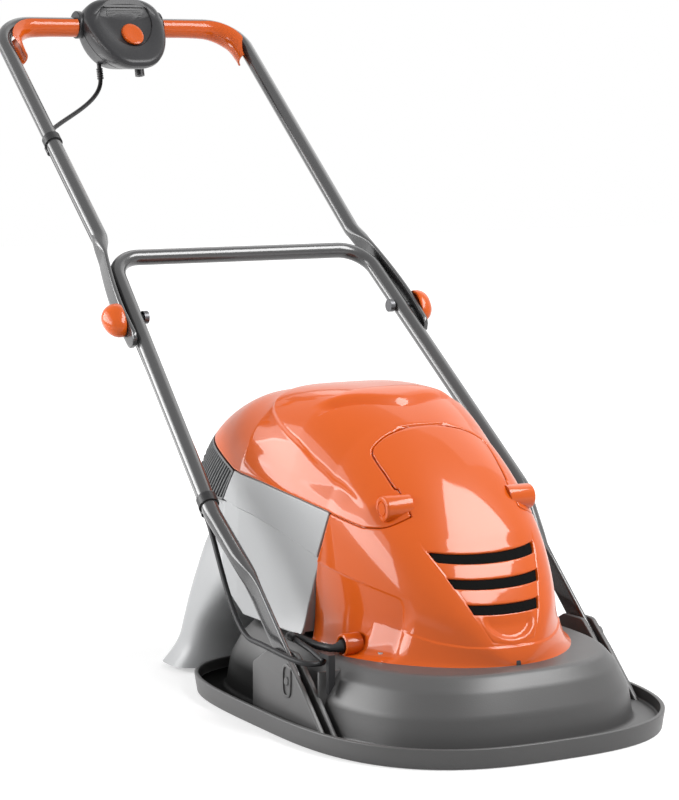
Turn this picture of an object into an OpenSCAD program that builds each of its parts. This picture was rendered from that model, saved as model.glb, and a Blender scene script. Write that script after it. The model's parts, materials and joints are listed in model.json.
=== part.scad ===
// Hover mower with a grass box, folding two part handle and a hinged lid.
// Origin on the ground under the middle of the deck. Front faces -Y, the handle rises towards +Y, +Z is up.

/* [Deck] */
// Width of the deck across its rim
deck_w = 436; // [420:2:460]
// Reach of the rim ahead of the origin
deck_front = 258; // [245:1:275]
// Reach of the rim behind the origin
deck_rear = 280; // [265:1:295]
// Height of the upturned rim
rim_h = 22; // [16:1:26]
// Thickness of the rim lip
rim_lip = 5; // [4:0.5:7]
// Width of the gutter inside the rim
gutter_w = 15; // [10:1:18]
// Thickness of the sole under the gutter
sole_t = 9; // [6:0.5:12]
// Height of the flat top of the hood
deck_h = 84; // [80:1:92]
// Wall of the hood
hood_wall = 3; // [2.5:0.5:4]

/* [Body] */
// Width of the cover and grass box
body_w = 308; // [290:2:320]
// Reach of the cover ahead of the origin
body_front = 170; // [160:1:180]
// Reach of the grass box behind the origin
body_rear = 360; // [350:1:375]
// Height of the crest of the lid
crest_h = 356; // [345:1:380]
// Place of the crest behind the origin
crest_y = 110; // [95:1:125]
// Wall of cover, lid and box
body_wall = 2.6; // [2:0.2:3.2]
// Gap where the lid meets the front cover
lid_gap = 3; // [2.6:0.2:4]
// Gap in the seams that only part straight
seam_gap = 1; // [0.6:0.1:1.6]

/* [Lid hinge] */
// Place of the lid hinge along Y
hinge_y = -42; // [-46:1:-38]
// Height of the lid hinge
hinge_z = 242; // [236:1:246]
// Diameter of the hinge knuckles
knuckle_d = 27; // [22:1:30]
// Depth of each knuckle's outer face inside the flank behind the hinge
knuckle_in = 3.4; // [2:0.2:5]
// Length of each lid knuckle
knuckle_l = 27; // [24:1:30]
// Diameter of the hinge pins
hinge_pin_d = 8; // [6:0.5:10]
// Radius of the lid's lobes round the hinge
lobe_r = 20; // [18:0.5:22]

/* [Motor and rotor] */
// Place of the rotor axis along Y
rotor_y = -40; // [-46:1:-36]
// Diameter of the motor can
motor_d = 80; // [70:1:84]
// Height of the motor can
motor_h = 78; // [70:1:84]
// Diameter of the rotor shaft
shaft_d = 10; // [8:0.5:12]
// Length of the blade
blade_l = 260; // [240:2:280]
// Width of the blade
blade_w = 40; // [30:1:50]
// Thickness of the blade
blade_t = 3; // [2:0.5:4]
// Height of the blade over the ground
blade_z = 20; // [16:1:24]
// Diameter of the hover impeller
impeller_d = 220; // [200:2:240]

/* [Handle] */
// Outer diameter of the handle tube
tube_d = 20; // [18:0.5:21]
// Wall of the handle tube
tube_wall = 1.5; // [1.2:0.1:2]
// Tilt of the handle above level
handle_tilt = 38.6; // [36:0.2:41]
// Place of the clamp bolts along Y
knob_y = 397; // [385:1:410]
// Height of the clamp bolts
knob_z = 420; // [410:1:430]
// Width of the upper handle between tube centres
upper_w = 360; // [350:2:364]
// Distance of the grip bar from the clamp bolts
grip_l = 578; // [560:2:590]
// Radius of the upper handle's bends
upper_bend = 50; // [40:1:60]
// Width of the lower handle between tube centres at the clamp bolts
lower_w = 372; // [370:1:374]
// Splay of the lower handle's legs
leg_splay = 3.9; // [3:0.1:4.5]
// Distance of the lower crossbar from the clamp bolts
bar_up = 107; // [100:1:110]
// Radius of the lower handle's top bends
lower_bend = 40; // [34:1:44]
// Length of the splayed legs below the clamp bolts
leg_l = 323; // [310:1:335]
// Thickness of the flattened tube ends
flat_t = 6; // [5:0.5:7]
// Width of the flattened tube ends
flat_w = 25; // [22:0.5:27]
// Diameter of the clamp and pivot bolts
bolt_d = 8; // [6:0.5:9]
// Distance of the deck pivots from the middle
pivot_x = 194; // [192:0.5:196]
// Place of the deck pivots along Y
pivot_y = -25; // [-30:1:-20]
// Height of the deck pivots
pivot_z = 60; // [58:1:64]
// Thickness of each tower cheek
cheek_t = 6; // [5:0.5:7]
// Diameter of the clamp knobs
knob_d = 38; // [32:1:42]
// Length of the clamp knobs
knob_l = 22; // [18:1:26]

/* [Switch box] */
// Width of the switch box
box_w = 122; // [112:1:130]
// Height of the switch box
box_h = 100; // [92:1:106]
// Depth of the switch box
box_d = 46; // [42:1:50]
// Lean of the switch box from upright
box_lean = 14; // [8:1:20]
// Width of the lock button
lock_w = 30; // [26:1:32]
// Travel of the lock button
lock_travel = 4; // [3:0.5:5]
// Outer diameter of the lead
lead_d = 6; // [5:0.5:7]

/* [Hidden] */
$fn = 48;

// Shared clearances
over = 1;
fit = 0.1;
clear = 0.4;
side_gap = 0.6;

// Rim and hood outline
hood_round_share = 2.8;
ring_steps = 44;
lip_flare = 3;
wall_lean = 6;
wall_mid_z = 44;
shoulder_in = 44;
shoulder_z = 70;
top_in = 60;
gutter_in = rim_lip + gutter_w;
duct_slot_share = 0.6;

// Body form
mid_y = 40;
front_plan_share = 2;
rear_plan_share = 9;
front_side_share = 1.38;
rear_side_share = 2.5;
arch_share = 2.6;
rear_arch_share = 3.6;
rear_form_y = 200;
waist_share = 0.15;
waist_rise_share = 0.75;
rear_shoulder_z = 238;
rear_station_shares = [0.16, 0.3, 0.45, 0.6, 0.72, 0.82, 0.9, 0.95, 0.98, 0.995];
front_first_angle = 5;
front_stations = 11;
arch_steps = 22;

cover_ear_d = 40;
cover_ear_t = 4;

cover_ear_in = 19;
cover_screw_y = -70;

// Seams in the side view
tongue_y = 24;
tongue_z = 299;
seam_knee_y = 30;
seam_knee_z = 230;
seam_rear_y = 216;
seam_rear_z = 255;
seam_tail_z = 300;
cover_foot_y = 58;
fin_low_y = 236;
fin_low_z = 215;
box_floor_z = 90;
box_step_y = 186;
box_step_z = 126;
box_back_y = 250;
duct_top_z = 164;

// Vents
vent_h = 10;
vent_zs = [192, 168, 144];
vent_half_ws = [64, 54, 42];
foam_t = 6;

// Motor
plate_t = 4;
plate_rim = 17;
plate_d = motor_d + 2 * plate_rim;
can_wall = 2.5;
motor_z = deck_h + plate_t;
stator_up = 12;
stator_z = motor_z + stator_up;
stator_h = 46;
stator_wall = 12;
bell_t = 6;
bell_z = motor_z + motor_h;
air_gap = 1;
armature_d = motor_d - 2 * can_wall - 2 * stator_wall - 2 * air_gap;
bearing_t = 8;
low_bearing_d = 26;
top_bearing_d = 22;
shaft_low_z = blade_z;
bell_gap = 2;
shaft_top_z = bell_z + bell_t + bell_gap;
comm_d = 24;
comm_h = 12;
comm_z = bell_z - comm_h - bell_gap;
brush_w = 6;
brush_l = 12;
impeller_z = 38;
impeller_h = 30;
impeller_t = 3;
hub_d = 44;
vane_count = 8;
blade_bevel = 30;
spacer_d = 24;
screw_d = 4;
screw_head_d = 8;
screw_head_h = 3;

// Handle frame
leg_x = lower_w / 2;
corner_end = bar_up - lower_bend + lower_bend * sin(leg_splay);
corner_x = leg_x - corner_end * tan(leg_splay) - lower_bend * cos(leg_splay);
flat_start_y = 80;
flat_start_z = 154;
flat_top = 112;
round_from = 156;
flat_tip = 34;
flat_in = leg_x + (flat_tip + flat_w / 2) * tan(leg_splay) + tube_d / 2 + side_gap;
tower_rear = 82;
tower_front = 84;
tower_top = 28;
cheek_gap = 0.5;
corner_steps = 6;
tube_sides = 16;

// Switch box frame
grip_y = knob_y + grip_l * cos(handle_tilt);
grip_z = knob_z + grip_l * sin(handle_tilt);
box_wall = 2.5;
box_up_share = 0.34;
lock_z = -19;
lever_r = 20;
lever_wall = 4;
lever_gap = 3;
lever_from = box_w / 2 + lever_gap;
lever_arc = 62;
lever_steps = 7;
lever_sides = 12;
lever_axis_up = 20;

// Grille, duct, small pieces
fin_back = 3;
fin_slots = 8;
fin_pitch = 8;
fin_margin = 6;
fin_slot_h = 28;
fin_lean = (fin_low_y - seam_rear_y) / (seam_rear_z - fin_low_z);
duct_half_w = 112;
duct_foot_half_w = 172;
duct_front_y = 215;
duct_foot_y = 371;
duct_flare = 18;
duct_knee_z = 40;
duct_waist_z = 110;
duct_low_z = 6;
duct_mouth = 52;
duct_round_share = 4;
grommet_l = 12;
grommet_d = 16;
hook_x = -182;
hook_y = -78;
hook_w = 8;
hook_t = 5;
hook_top_z = 96;
hook_reach = 20;
suppressor_w = 40;
suppressor_l = 20;
suppressor_h = 22;
nut_t = 6;
bolt_head_t = 5;
blade_bolt_l = 22;
bolt_tail = 14;
clip_l = 12;
clip_t = 2;
clip_up = 25;
lower_clip_at = clip_up - leg_l;
upper_clip_at = 338;
pod_round_share = 2.5;
lever_shaft_d = 6;
gland_x = 30;
gland_y = 8;
gland_d = 13;
gland_l = 16;
switch_l = 34;
switch_w = 14;
switch_h = 20;
screw_x = 34;
screw_low_z = -52;
screw_top_z = 18;
screw_places = [for (s = [-1, 1], z = [screw_low_z, screw_top_z]) [s * screw_x, z]];
lock_proud = lock_travel;
lock_l = 11;
knob_wing = 20;
knob_turn = -20;

// Lead: places it runs through, and how far each end of a bend runs straight on
lead_sides = 8;
lead_steps = 8;
lead_exit_x = -30;
lead_drop = tube_d / 2 + lead_d / 2 + clip_t;
lead_box_end = -72;
lead_join_up = 160;
lead_join_down = -90;
lead_loop_up = lower_clip_at - clip_l - 2 * clip_t;
lead_box_bend = 45;
lead_clip_bend = 40;
lead_tower_bend = 50;
lead_hook_bend = 28;
lead_inlet_bend = 10;
tower_pass = [-211, 42, 93];
hook_pass = [-184, -64, 85];
inlet = [-146, -33, 94];

// Superellipse helper: height share at a share of the reach
function bow(s, n) = pow(max(0, 1 - pow(min(1, abs(s)), n)), 1 / n);
function signed_pow(v, e) = sign(v) * pow(abs(v), e);

// Plan outline of the deck, inset from the rim, at height z
function deck_ring(inset, z) = [
    for (i = [0 : ring_steps - 1])
        let (a = 360 * i / ring_steps, reach = sin(a) < 0 ? deck_front : deck_rear)
        [(deck_w / 2 - inset) * signed_pow(cos(a), 2 / hood_round_share),
         (reach - inset) * signed_pow(sin(a), 2 / hood_round_share), z]
];

// Half width and top height of the body form at y
function plan_half(y, inset) =
    let (s = y < mid_y ? (mid_y - y) / (mid_y + body_front - inset) : (y - mid_y)
        / (body_rear - inset - mid_y))
    (body_w / 2 - inset) * bow(s, y < mid_y ? front_plan_share : rear_plan_share);
function side_top(y, inset) = y < crest_y
    ? deck_h + (crest_h - inset - deck_h) * bow((crest_y - y) / (crest_y + body_front - inset),
        front_side_share)
    : rear_shoulder_z + (crest_h - inset - rear_shoulder_z)
        * bow((y - crest_y) / (body_rear - inset - crest_y), rear_side_share);
function stations(inset) = concat(
    [for (i = [0 : front_stations])
        mid_y - (mid_y + body_front - inset)
            * cos(front_first_angle + (90 - front_first_angle) * i / front_stations)],
    [for (s = rear_station_shares) mid_y + (body_rear - inset - mid_y) * s]
);
// The section grows squarer towards the rear, and has a waist in front of it
function rear_part(y) = min(1, max(0, (y - mid_y) / (rear_form_y - mid_y)));
function arch_at(y) = arch_share + (rear_arch_share - arch_share) * rear_part(y);
function waist_at(y, u) = 1 - waist_share * (1 - rear_part(y)) * sin(180 * pow(min(1, u), waist_rise_share));
function arch_ring(y, inset, low) = [
    for (i = [0 : arch_steps])
        let (a = 180 - 180 * i / arch_steps, u = pow(sin(a), 2 / arch_at(y)))
        [plan_half(y, inset) * signed_pow(cos(a), 2 / arch_at(y)) * waist_at(y, u), y,
         low + (side_top(y, inset) - low) * u]
];

// Half width of the body form at a point of its side view, and what sits on it
function flank_x(y, z) =
    let (u = (z - deck_h) / (side_top(y, 0) - deck_h))
    plan_half(y, 0) * bow(u, arch_at(y)) * waist_at(y, u);
knuckle_x = flank_x(hinge_y + knuckle_d / 2, hinge_z) - knuckle_in;
cover_screw_x = plan_half(cover_screw_y, 0) - cover_ear_in;

// Closed solid through rings of equal count, each ring anticlockwise seen from the far end
module loft(rings) {
    n = len(rings[0]);
    m = len(rings);
    sides = [
        for (k = [0 : m - 2], i = [0 : n - 1], half = [0, 1])
            let (j = (i + 1) % n)
            half == 0 ? [k * n + i, (k + 1) * n + i, (k + 1) * n + j] : [k * n + i, (k + 1) * n + j,
                k * n + j]
    ];
    caps = [[for (i = [0 : n - 1]) i], [for (i = [n - 1 : -1 : 0]) (m - 1) * n + i]];
    polyhedron([for (r = rings) each r], concat(sides, caps));
}

module body_form(inset, low) {
    loft([for (y = stations(inset)) arch_ring(y, inset, low)]);
}

// Side view outline in Y and Z, extruded across X
module side_plate(points, half) {
    translate([-half, 0, 0]) rotate([90, 0, 90]) linear_extrude(2 * half) polygon(points);
}

module both_sides() {
    children();
    mirror([1, 0, 0]) children();
}

// Cylinder along X from x0, l long
module x_rod(x0, l, r) {
    translate([x0, 0, 0]) rotate([0, 90, 0]) cylinder(h = l, r = r);
}

// Frame at the clamp bolts: X across, Y up the handle, Z off its upper face
module at_handle() {
    translate([0, knob_y, knob_z]) rotate([handle_tilt, 0, 0]) children();
}

// Frame at the grip bar for the switch box: Z up the face, -Y out of it
module at_box() {
    translate([0, grip_y, grip_z]) rotate([-box_lean, 0, 0]) children();
}

// Round cord or tube through the points of a route, its rings set square to ref
function along(p, i) = let (a = p[max(0, i - 1)], b = p[min(len(p) - 1, i + 1)]) (b - a) / norm(b - a);
module cord(p, r, ref = [1, 0, 0], sides = lead_sides) {
    loft([
        for (i = [0 : len(p) - 1])
            let (t = along(p, i), u = cross(t, ref) / norm(cross(t, ref)), v = cross(t, u))
            [for (k = [0 : sides - 1]) p[i] + r * (cos(360 * k / sides) * u + sin(360 * k / sides) * v)]
    ]);
}

// Points of the handle frame and of the switch box frame
function in_handle(p) = [
    p[0], knob_y + p[1] * cos(handle_tilt) - p[2] * sin(handle_tilt),
    knob_z + p[1] * sin(handle_tilt) + p[2] * cos(handle_tilt)
];
function in_box(p) = [
    p[0], grip_y + p[1] * cos(box_lean) + p[2] * sin(box_lean), grip_z - p[1] * sin(box_lean)
        + p[2] * cos(box_lean)
];

// Routes of the lead: smooth bends between straight runs under the tubes
function curve(a, b, c, d) = [
    for (i = [0 : lead_steps])
        let (t = i / lead_steps, s = 1 - t)
        s * s * s * a + 3 * s * s * t * b + 3 * s * t * t * c + t * t * t * d
];
function under_upper(up) = in_handle([-upper_w / 2, up, -lead_drop]);
function under_leg(up) = in_handle([-leg_x + up * tan(leg_splay), up, -lead_drop]);
clip_entry = upper_clip_at + clip_l / 2;
upper_route = concat(
    [in_box([lead_exit_x, gland_y, -box_h / 2])],
    curve(
        in_box([lead_exit_x, gland_y, lead_box_end]), in_box([lead_exit_x, gland_y,
            lead_box_end - lead_box_bend]),
        under_upper(clip_entry + lead_clip_bend), under_upper(clip_entry)
    ),
    [under_upper(lead_join_up)]
);
cross_route = [
    under_upper(lead_join_up), under_upper(lead_join_up - lead_d),
    under_leg(lead_join_down + lead_d), under_leg(lead_join_down + side_gap)
];
lower_route = [under_leg(lead_join_down), under_leg(lead_loop_up)];
loop_route = concat(
    curve(
        under_leg(lead_loop_up), under_leg(lead_loop_up - lead_clip_bend), tower_pass + [0,
            lead_tower_bend, 0], tower_pass
    ),
    [for (i = [1 : lead_steps])
        curve(
            tower_pass, tower_pass - [0, lead_tower_bend, 0],
            hook_pass - [lead_hook_bend, 0, 0], hook_pass - [lead_d, 0, 0]
        )[i]],
    [hook_pass - [side_gap, 0, 0]]
);
tail_route = concat(
    [hook_pass],
    curve(
        hook_pass + [lead_d / 2, 0, 0], hook_pass + [lead_inlet_bend, 0, 0],
        inlet - [2 * lead_inlet_bend, 0, 0], inlet - [lead_inlet_bend / 2, 0, 0]
    ),
    [inlet + [grommet_l, 0, 0]]
);

// Hood outside, from the sole to the flat top
module hood_outside(grow) {
    loft([
        deck_ring(lip_flare - grow, 0), deck_ring(-grow, rim_h + grow), deck_ring(rim_lip + grow,
            rim_h + grow),
        deck_ring(rim_lip + grow, sole_t + grow), deck_ring(gutter_in - grow, sole_t + grow),
        deck_ring(gutter_in + wall_lean - grow, wall_mid_z + grow), deck_ring(shoulder_in - grow,
            shoulder_z + grow),
        deck_ring(top_in - grow, deck_h + grow)
    ]);
}
module hood_inside() {
    loft([
        deck_ring(gutter_in + hood_wall, -over), deck_ring(gutter_in + wall_lean + hood_wall,
            wall_mid_z - hood_wall),
        deck_ring(shoulder_in + hood_wall, shoulder_z - hood_wall), deck_ring(top_in + hood_wall,
            deck_h - hood_wall)
    ]);
}

// Handle tower: two cheeks with the flattened handle end between them
module tower() {
    outline = [
        [pivot_y + tower_rear, sole_t - over], [pivot_y + tower_rear - over, pivot_z + cheek_t],
        [pivot_y + tower_rear / 2, pivot_z + tower_top], [pivot_y + cheek_t, pivot_z + tower_top],
        [pivot_y - tower_front / 3, pivot_z], [pivot_y - tower_front, sole_t - over]
    ];
    inner = pivot_x - flat_t / 2 - cheek_gap - cheek_t;
    outer = pivot_x + flat_t / 2 + cheek_gap;
    difference() {
        for (x = [inner, outer])
            translate([x, 0, 0]) rotate([90, 0, 90]) linear_extrude(cheek_t) polygon(outline);
        translate([0, pivot_y, pivot_z]) x_rod(inner - over, 2 * cheek_t + 2 * flat_t, bolt_d / 2);
    }
}

module hood() {
    slot_w = body_w * duct_slot_share;
    color("#3b3c3e") difference() {
        union() {
            difference() {
                hood_outside(0);
                hood_inside();
            }
            difference() {
                both_sides() tower();
                hood_inside();
            }
        }
        translate([0, rotor_y, deck_h - hood_wall - over]) cylinder(h = hood_wall + 2 * over, d = hub_d);
        translate([-slot_w / 2, deck_rear / 2, sole_t + hood_wall])
            cube([slot_w, deck_rear / 2 - gutter_in, deck_h - sole_t - 4 * hood_wall]);
    }
}

// Side view regions of the body
cover_region = [
    [-body_front - over, deck_h], [cover_foot_y - seam_gap, deck_h],
    [seam_knee_y - seam_gap, seam_knee_z - seam_gap],
    [hinge_y, hinge_z - lobe_r - seam_gap], [hinge_y, hinge_z],
    [tongue_y - lid_gap, tongue_z], [tongue_y - lid_gap, crest_h + over],
    [-body_front - over, crest_h + over]
];
// The lid's edge stays back beside the hinge, so that it clears the cover as it swings up
lid_edge_turn = 14;
lid_edge_angle = atan2(tongue_z - hinge_z, tongue_y - hinge_y) - lid_edge_turn;
lid_region = [
    [tongue_y, crest_h + over], [tongue_y, tongue_z - lid_gap / 2],
    [hinge_y + lobe_r * cos(lid_edge_angle), hinge_z + lobe_r * sin(lid_edge_angle)],
    [hinge_y, hinge_z], [hinge_y, hinge_z - lobe_r],
    [seam_knee_y, seam_knee_z], [seam_rear_y, seam_rear_z], [body_rear + over, seam_tail_z],
    [body_rear + over, crest_h + over]
];
box_region = [
    [cover_foot_y, box_floor_z], [seam_knee_y, seam_knee_z - seam_gap], [seam_rear_y, seam_rear_z - seam_gap],
    [body_rear + over, seam_tail_z - seam_gap], [body_rear + over, duct_top_z], [box_back_y
        + body_wall, duct_top_z],
    [box_back_y, box_step_z], [box_step_y, box_floor_z]
];
box_hollow = [
    [cover_foot_y + body_wall, box_floor_z + body_wall], [seam_knee_y + body_wall, seam_knee_z + over],
    [seam_rear_y, seam_rear_z + over], [body_rear + over, seam_tail_z + over],
    [body_rear + over, duct_top_z + body_wall], [box_back_y, duct_top_z + body_wall],
    [box_back_y - body_wall, box_step_z + body_wall], [box_step_y - body_wall, box_floor_z + body_wall]
];
function fin_outline(grow) = [
    [fin_low_y, fin_low_z], [seam_rear_y, seam_rear_z - seam_gap],
    [seam_rear_y, seam_rear_z - seam_gap + grow], [body_rear + over, seam_tail_z - seam_gap + grow],
    [body_rear + over, fin_low_z]
];

module knuckle_room(r) {
    both_sides() translate([0, hinge_y, hinge_z]) x_rod(knuckle_x - knuckle_l - side_gap, knuckle_l
        + body_w, r);
}

module motor_cover() {
    color("#e8641e") union() {
        difference() {
            intersection() {
                body_form(0, deck_h);
                side_plate(cover_region, body_w);
            }
            body_form(body_wall, deck_h - over);
            for (i = [0 : len(vent_zs) - 1])
                translate([-vent_half_ws[i], -body_front - over, vent_zs[i]])
                    cube([2 * vent_half_ws[i], body_front + hinge_y, vent_h]);
            knuckle_room(lobe_r + seam_gap);
            translate(inlet) rotate([0, 90, 0])
                translate([0, 0, -grommet_d]) cylinder(h = 2 * grommet_d, d = grommet_d + fit);
        }
        both_sides() translate([0, hinge_y, hinge_z]) difference() {
            x_rod(knuckle_x - 2 * knuckle_l, knuckle_l - 2 * side_gap, knuckle_d / 2);
            x_rod(knuckle_x - 2 * knuckle_l - over, knuckle_l + 2 * over, hinge_pin_d / 2);
        }
        intersection() {
            body_form(0, deck_h);
            both_sides() translate([cover_screw_x, cover_screw_y, deck_h]) difference() {
                cylinder(h = cover_ear_t, d = cover_ear_d);
                translate([0, 0, -over]) cylinder(h = cover_ear_t + 2 * over, d = screw_d);
            }
        }
    }
}

module lid() {
    color("#e8641e") difference() {
        union() {
            difference() {
                intersection() {
                    body_form(0, deck_h);
                    union() {
                        side_plate(lid_region, body_w);
                        both_sides() translate([0, hinge_y, hinge_z]) x_rod(knuckle_x - knuckle_l,
                            body_w / 2, lobe_r);
                    }
                }
                body_form(body_wall, deck_h - over);
            }
            both_sides() translate([0, hinge_y, hinge_z]) x_rod(knuckle_x - knuckle_l, knuckle_l,
                knuckle_d / 2);
        }
        both_sides() translate([0, hinge_y, hinge_z])
            x_rod(knuckle_x - knuckle_l - over, knuckle_l - body_wall + over, hinge_pin_d / 2 + fit / 2);
    }
}

module hinge_pins() {
    color("silver") both_sides() translate([0, hinge_y, hinge_z])
        x_rod(knuckle_x - 2 * knuckle_l, 2 * knuckle_l - 2 * body_wall, hinge_pin_d / 2);
}

module vent_foam() {
    foam_half = vent_half_ws[0];
    low_z = vent_zs[len(vent_zs) - 1] - vent_h;
    top_z = vent_zs[0] + 2 * vent_h;
    color("#161616") intersection() {
        difference() {
            body_form(body_wall + clear, deck_h);
            body_form(body_wall + clear + foam_t, deck_h - over);
        }
        translate([-foam_half, -body_front, low_z]) cube([2 * foam_half, body_front + hinge_y,
            top_z - low_z]);
    }
}

module grass_box() {
    color("#9a9ca0") difference() {
        intersection() {
            body_form(0, deck_h);
            side_plate(box_region, body_w);
        }
        intersection() {
            body_form(body_wall, deck_h - over);
            side_plate(box_hollow, body_w);
        }
        side_plate(fin_outline(over), 2 * body_w);
        translate([-duct_half_w, box_back_y + 2 * body_wall, duct_top_z - over])
            cube([2 * duct_half_w, duct_mouth, body_wall + 2 * over]);
    }
}

module outlet_grille() {
    color("#2c2d2f") difference() {
        intersection() {
            body_form(0, deck_h);
            side_plate(fin_outline(0), body_w);
        }
        body_form(body_wall + fin_back + clear, deck_h - over);
        for (i = [1 : fin_slots])
            side_plate([
                [fin_low_y + fin_pitch * i - fin_lean * fin_margin, fin_low_z + fin_margin],
                [fin_low_y + fin_pitch * i - fin_lean * (fin_margin + fin_slot_h), fin_low_z
                    + fin_margin + fin_slot_h],
                [fin_low_y + fin_pitch * i + fin_pitch / 2 - fin_lean * (fin_margin + fin_slot_h),
                    fin_low_z + fin_margin + fin_slot_h],
                [fin_low_y + fin_pitch * i + fin_pitch / 2 - fin_lean * fin_margin, fin_low_z + fin_margin]
            ], body_w);
    }
}

function duct_ring(half, front, rear, z, inset) = [
    for (i = [0 : ring_steps - 1])
        let (a = 360 * i / ring_steps, mid = (front + rear) / 2)
        [(half - inset) * signed_pow(cos(a), 2 / duct_round_share),
         mid + ((rear - front) / 2 - inset) * signed_pow(sin(a), 2 / duct_round_share), z]
];
module duct_form(inset, low, high) {
    loft([
        duct_ring(duct_foot_half_w, duct_front_y, duct_foot_y, low, inset),
        duct_ring(duct_foot_half_w - duct_flare, duct_front_y, duct_foot_y - duct_flare, duct_knee_z, inset),
        duct_ring(duct_half_w + duct_flare, duct_front_y, body_rear - duct_flare / 2, duct_waist_z, inset),
        duct_ring(duct_half_w, box_back_y + body_wall, body_rear - duct_flare, high, inset)
    ]);
}
module rear_duct() {
    color("#a4a6aa") difference() {
        duct_form(0, duct_low_z, duct_top_z);
        duct_form(body_wall, duct_low_z + body_wall, duct_top_z + over);
        hood_outside(clear);
        side_plate([
            [0, box_floor_z - clear], [box_step_y, box_floor_z - clear],
            [box_back_y + clear, box_step_z], [box_back_y + body_wall, duct_top_z], [0, crest_h]
        ], body_w);
    }
}

module lead_grommet() {
    color("#e8641e") translate(inlet) rotate([0, 90, 0]) difference() {
        cylinder(h = grommet_l, d = grommet_d);
        translate([0, 0, -over]) cylinder(h = grommet_l + 2 * over, d = lead_d + fit);
    }
}

module lead_hook() {
    color("#1c1c1d") difference() {
        translate([hook_x, hook_y, wall_mid_z]) union() {
            cube([hook_w, hook_t, hook_top_z - wall_mid_z]);
            translate([0, 0, hook_top_z - wall_mid_z - hook_t]) cube([hook_w, hook_reach, hook_t]);
        }
        hood_outside(0);
    }
}

module motor_plate() {
    color("silver") translate([0, rotor_y, deck_h]) difference() {
        cylinder(h = plate_t, d = plate_d);
        translate([0, 0, -over]) cylinder(h = plate_t + 2 * over, d = low_bearing_d);
        for (a = [45 : 90 : 315])
            rotate(a) translate([plate_d / 2 - screw_head_d, 0, -over]) cylinder(h = plate_t
                + 2 * over, d = screw_d);
    }
}
module motor_can() {
    color("#8a8d91") translate([0, rotor_y, motor_z]) difference() {
        cylinder(h = motor_h, d = motor_d);
        translate([0, 0, -over]) cylinder(h = motor_h + 2 * over, d = motor_d - 2 * can_wall);
    }
}
module stator() {
    color("#6b4a3a") translate([0, rotor_y, stator_z]) difference() {
        cylinder(h = stator_h, d = motor_d - 2 * can_wall);
        translate([0, 0, -over]) cylinder(h = stator_h + 2 * over, d = armature_d + 2 * air_gap);
        for (s = [0, 90])
            rotate(s) translate([-motor_d, -air_gap * 4, -over]) cube([2 * motor_d, air_gap * 8,
                stator_h / 3]);
    }
}
module end_bell() {
    color("#444") translate([0, rotor_y, bell_z]) difference() {
        cylinder(h = bell_t, d = motor_d);
        translate([0, 0, -over]) cylinder(h = bell_t + 2 * over, d = top_bearing_d);
    }
}
module brush_holders() {
    color("#b8923a") for (s = [0, 180])
        translate([0, rotor_y, 0]) rotate(s) difference() {
            translate([comm_d / 2 + air_gap, -brush_w, comm_z]) cube([brush_l, 2 * brush_w, comm_h
                + bell_gap]);
            translate([comm_d / 2, -brush_w / 2, comm_z + comm_h / 4])
                cube([brush_l + 2 * over, brush_w, comm_h / 2]);
        }
}
module brushes() {
    color("#222") for (s = [0, 180])
        translate([0, rotor_y, 0]) rotate(s)
            translate([comm_d / 2 + clear, -brush_w / 2 + fit, comm_z + comm_h / 4 + fit])
                cube([brush_l - air_gap, brush_w - 2 * fit, comm_h / 2 - 2 * fit]);
}
module bearing(z, d) {
    translate([0, rotor_y, z]) difference() {
        cylinder(h = bearing_t, d = d);
        translate([0, 0, -over]) cylinder(h = bearing_t + 2 * over, d = shaft_d + fit);
    }
}
module lower_bearing() {
    color("#c8c8c8") bearing(deck_h - bearing_t + plate_t, low_bearing_d);
}
module upper_bearing() {
    color("#c8c8c8") bearing(bell_z, top_bearing_d);
}
module motor_screws() {
    color("silver") translate([0, rotor_y, deck_h - hood_wall]) for (a = [45 : 90 : 315])
        rotate(a) translate([plate_d / 2 - screw_head_d, 0, hood_wall]) union() {
            cylinder(h = plate_t, d = screw_d);
            translate([0, 0, plate_t]) cylinder(h = screw_head_h, d = screw_head_d);
        }
}
module suppressor() {
    color("#3a5a8a") translate([-suppressor_w / 2, rotor_y - plate_d / 2 - suppressor_l, deck_h])
        cube([suppressor_w, suppressor_l, suppressor_h]);
}
module cover_screws() {
    color("#555") both_sides() translate([cover_screw_x, cover_screw_y, deck_h]) union() {
        cylinder(h = cover_ear_t, d = screw_d);
        translate([0, 0, cover_ear_t]) cylinder(h = screw_head_h, d = screw_head_d);
    }
}

module pivot_bolts() {
    inner = pivot_x - flat_t / 2 - cheek_gap - cheek_t;
    outer = pivot_x + flat_t / 2 + cheek_gap + cheek_t;
    color("silver") both_sides() translate([0, pivot_y, pivot_z]) union() {
        x_rod(inner, outer - inner, bolt_d / 2);
        x_rod(outer, bolt_head_t, bolt_d);
    }
}
module lead_tail() {
    color("#151515") cord(tail_route, lead_d / 2, [0, 0, 1]);
}

module rotor_shaft() {
    color("silver") translate([0, rotor_y, shaft_low_z]) difference() {
        cylinder(h = shaft_top_z - shaft_low_z, d = shaft_d);
        translate([0, 0, -over]) cylinder(h = blade_bolt_l + over, d = shaft_d / 2);
    }
}
module ring(z, h, d, bore) {
    translate([0, rotor_y, z]) difference() {
        cylinder(h = h, d = d);
        translate([0, 0, -over]) cylinder(h = h + 2 * over, d = bore);
    }
}
module armature() {
    color("#8c5a34") ring(stator_z, stator_h, armature_d, shaft_d);
}
module commutator() {
    color("#c98a4a") ring(comm_z, comm_h, comm_d, shaft_d);
}
module impeller() {
    color("#2a2a2c") union() {
        ring(impeller_z, impeller_h, hub_d, shaft_d);
        ring(impeller_z + impeller_h - impeller_t, impeller_t, impeller_d, hub_d - over);
        for (k = [0 : vane_count - 1])
            translate([0, rotor_y, impeller_z]) rotate(360 * k / vane_count)
                translate([hub_d / 2 - over, -impeller_t / 2, 0])
                    cube([impeller_d / 2 - hub_d / 2 - over, impeller_t, impeller_h - impeller_t / 2]);
    }
}
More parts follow.
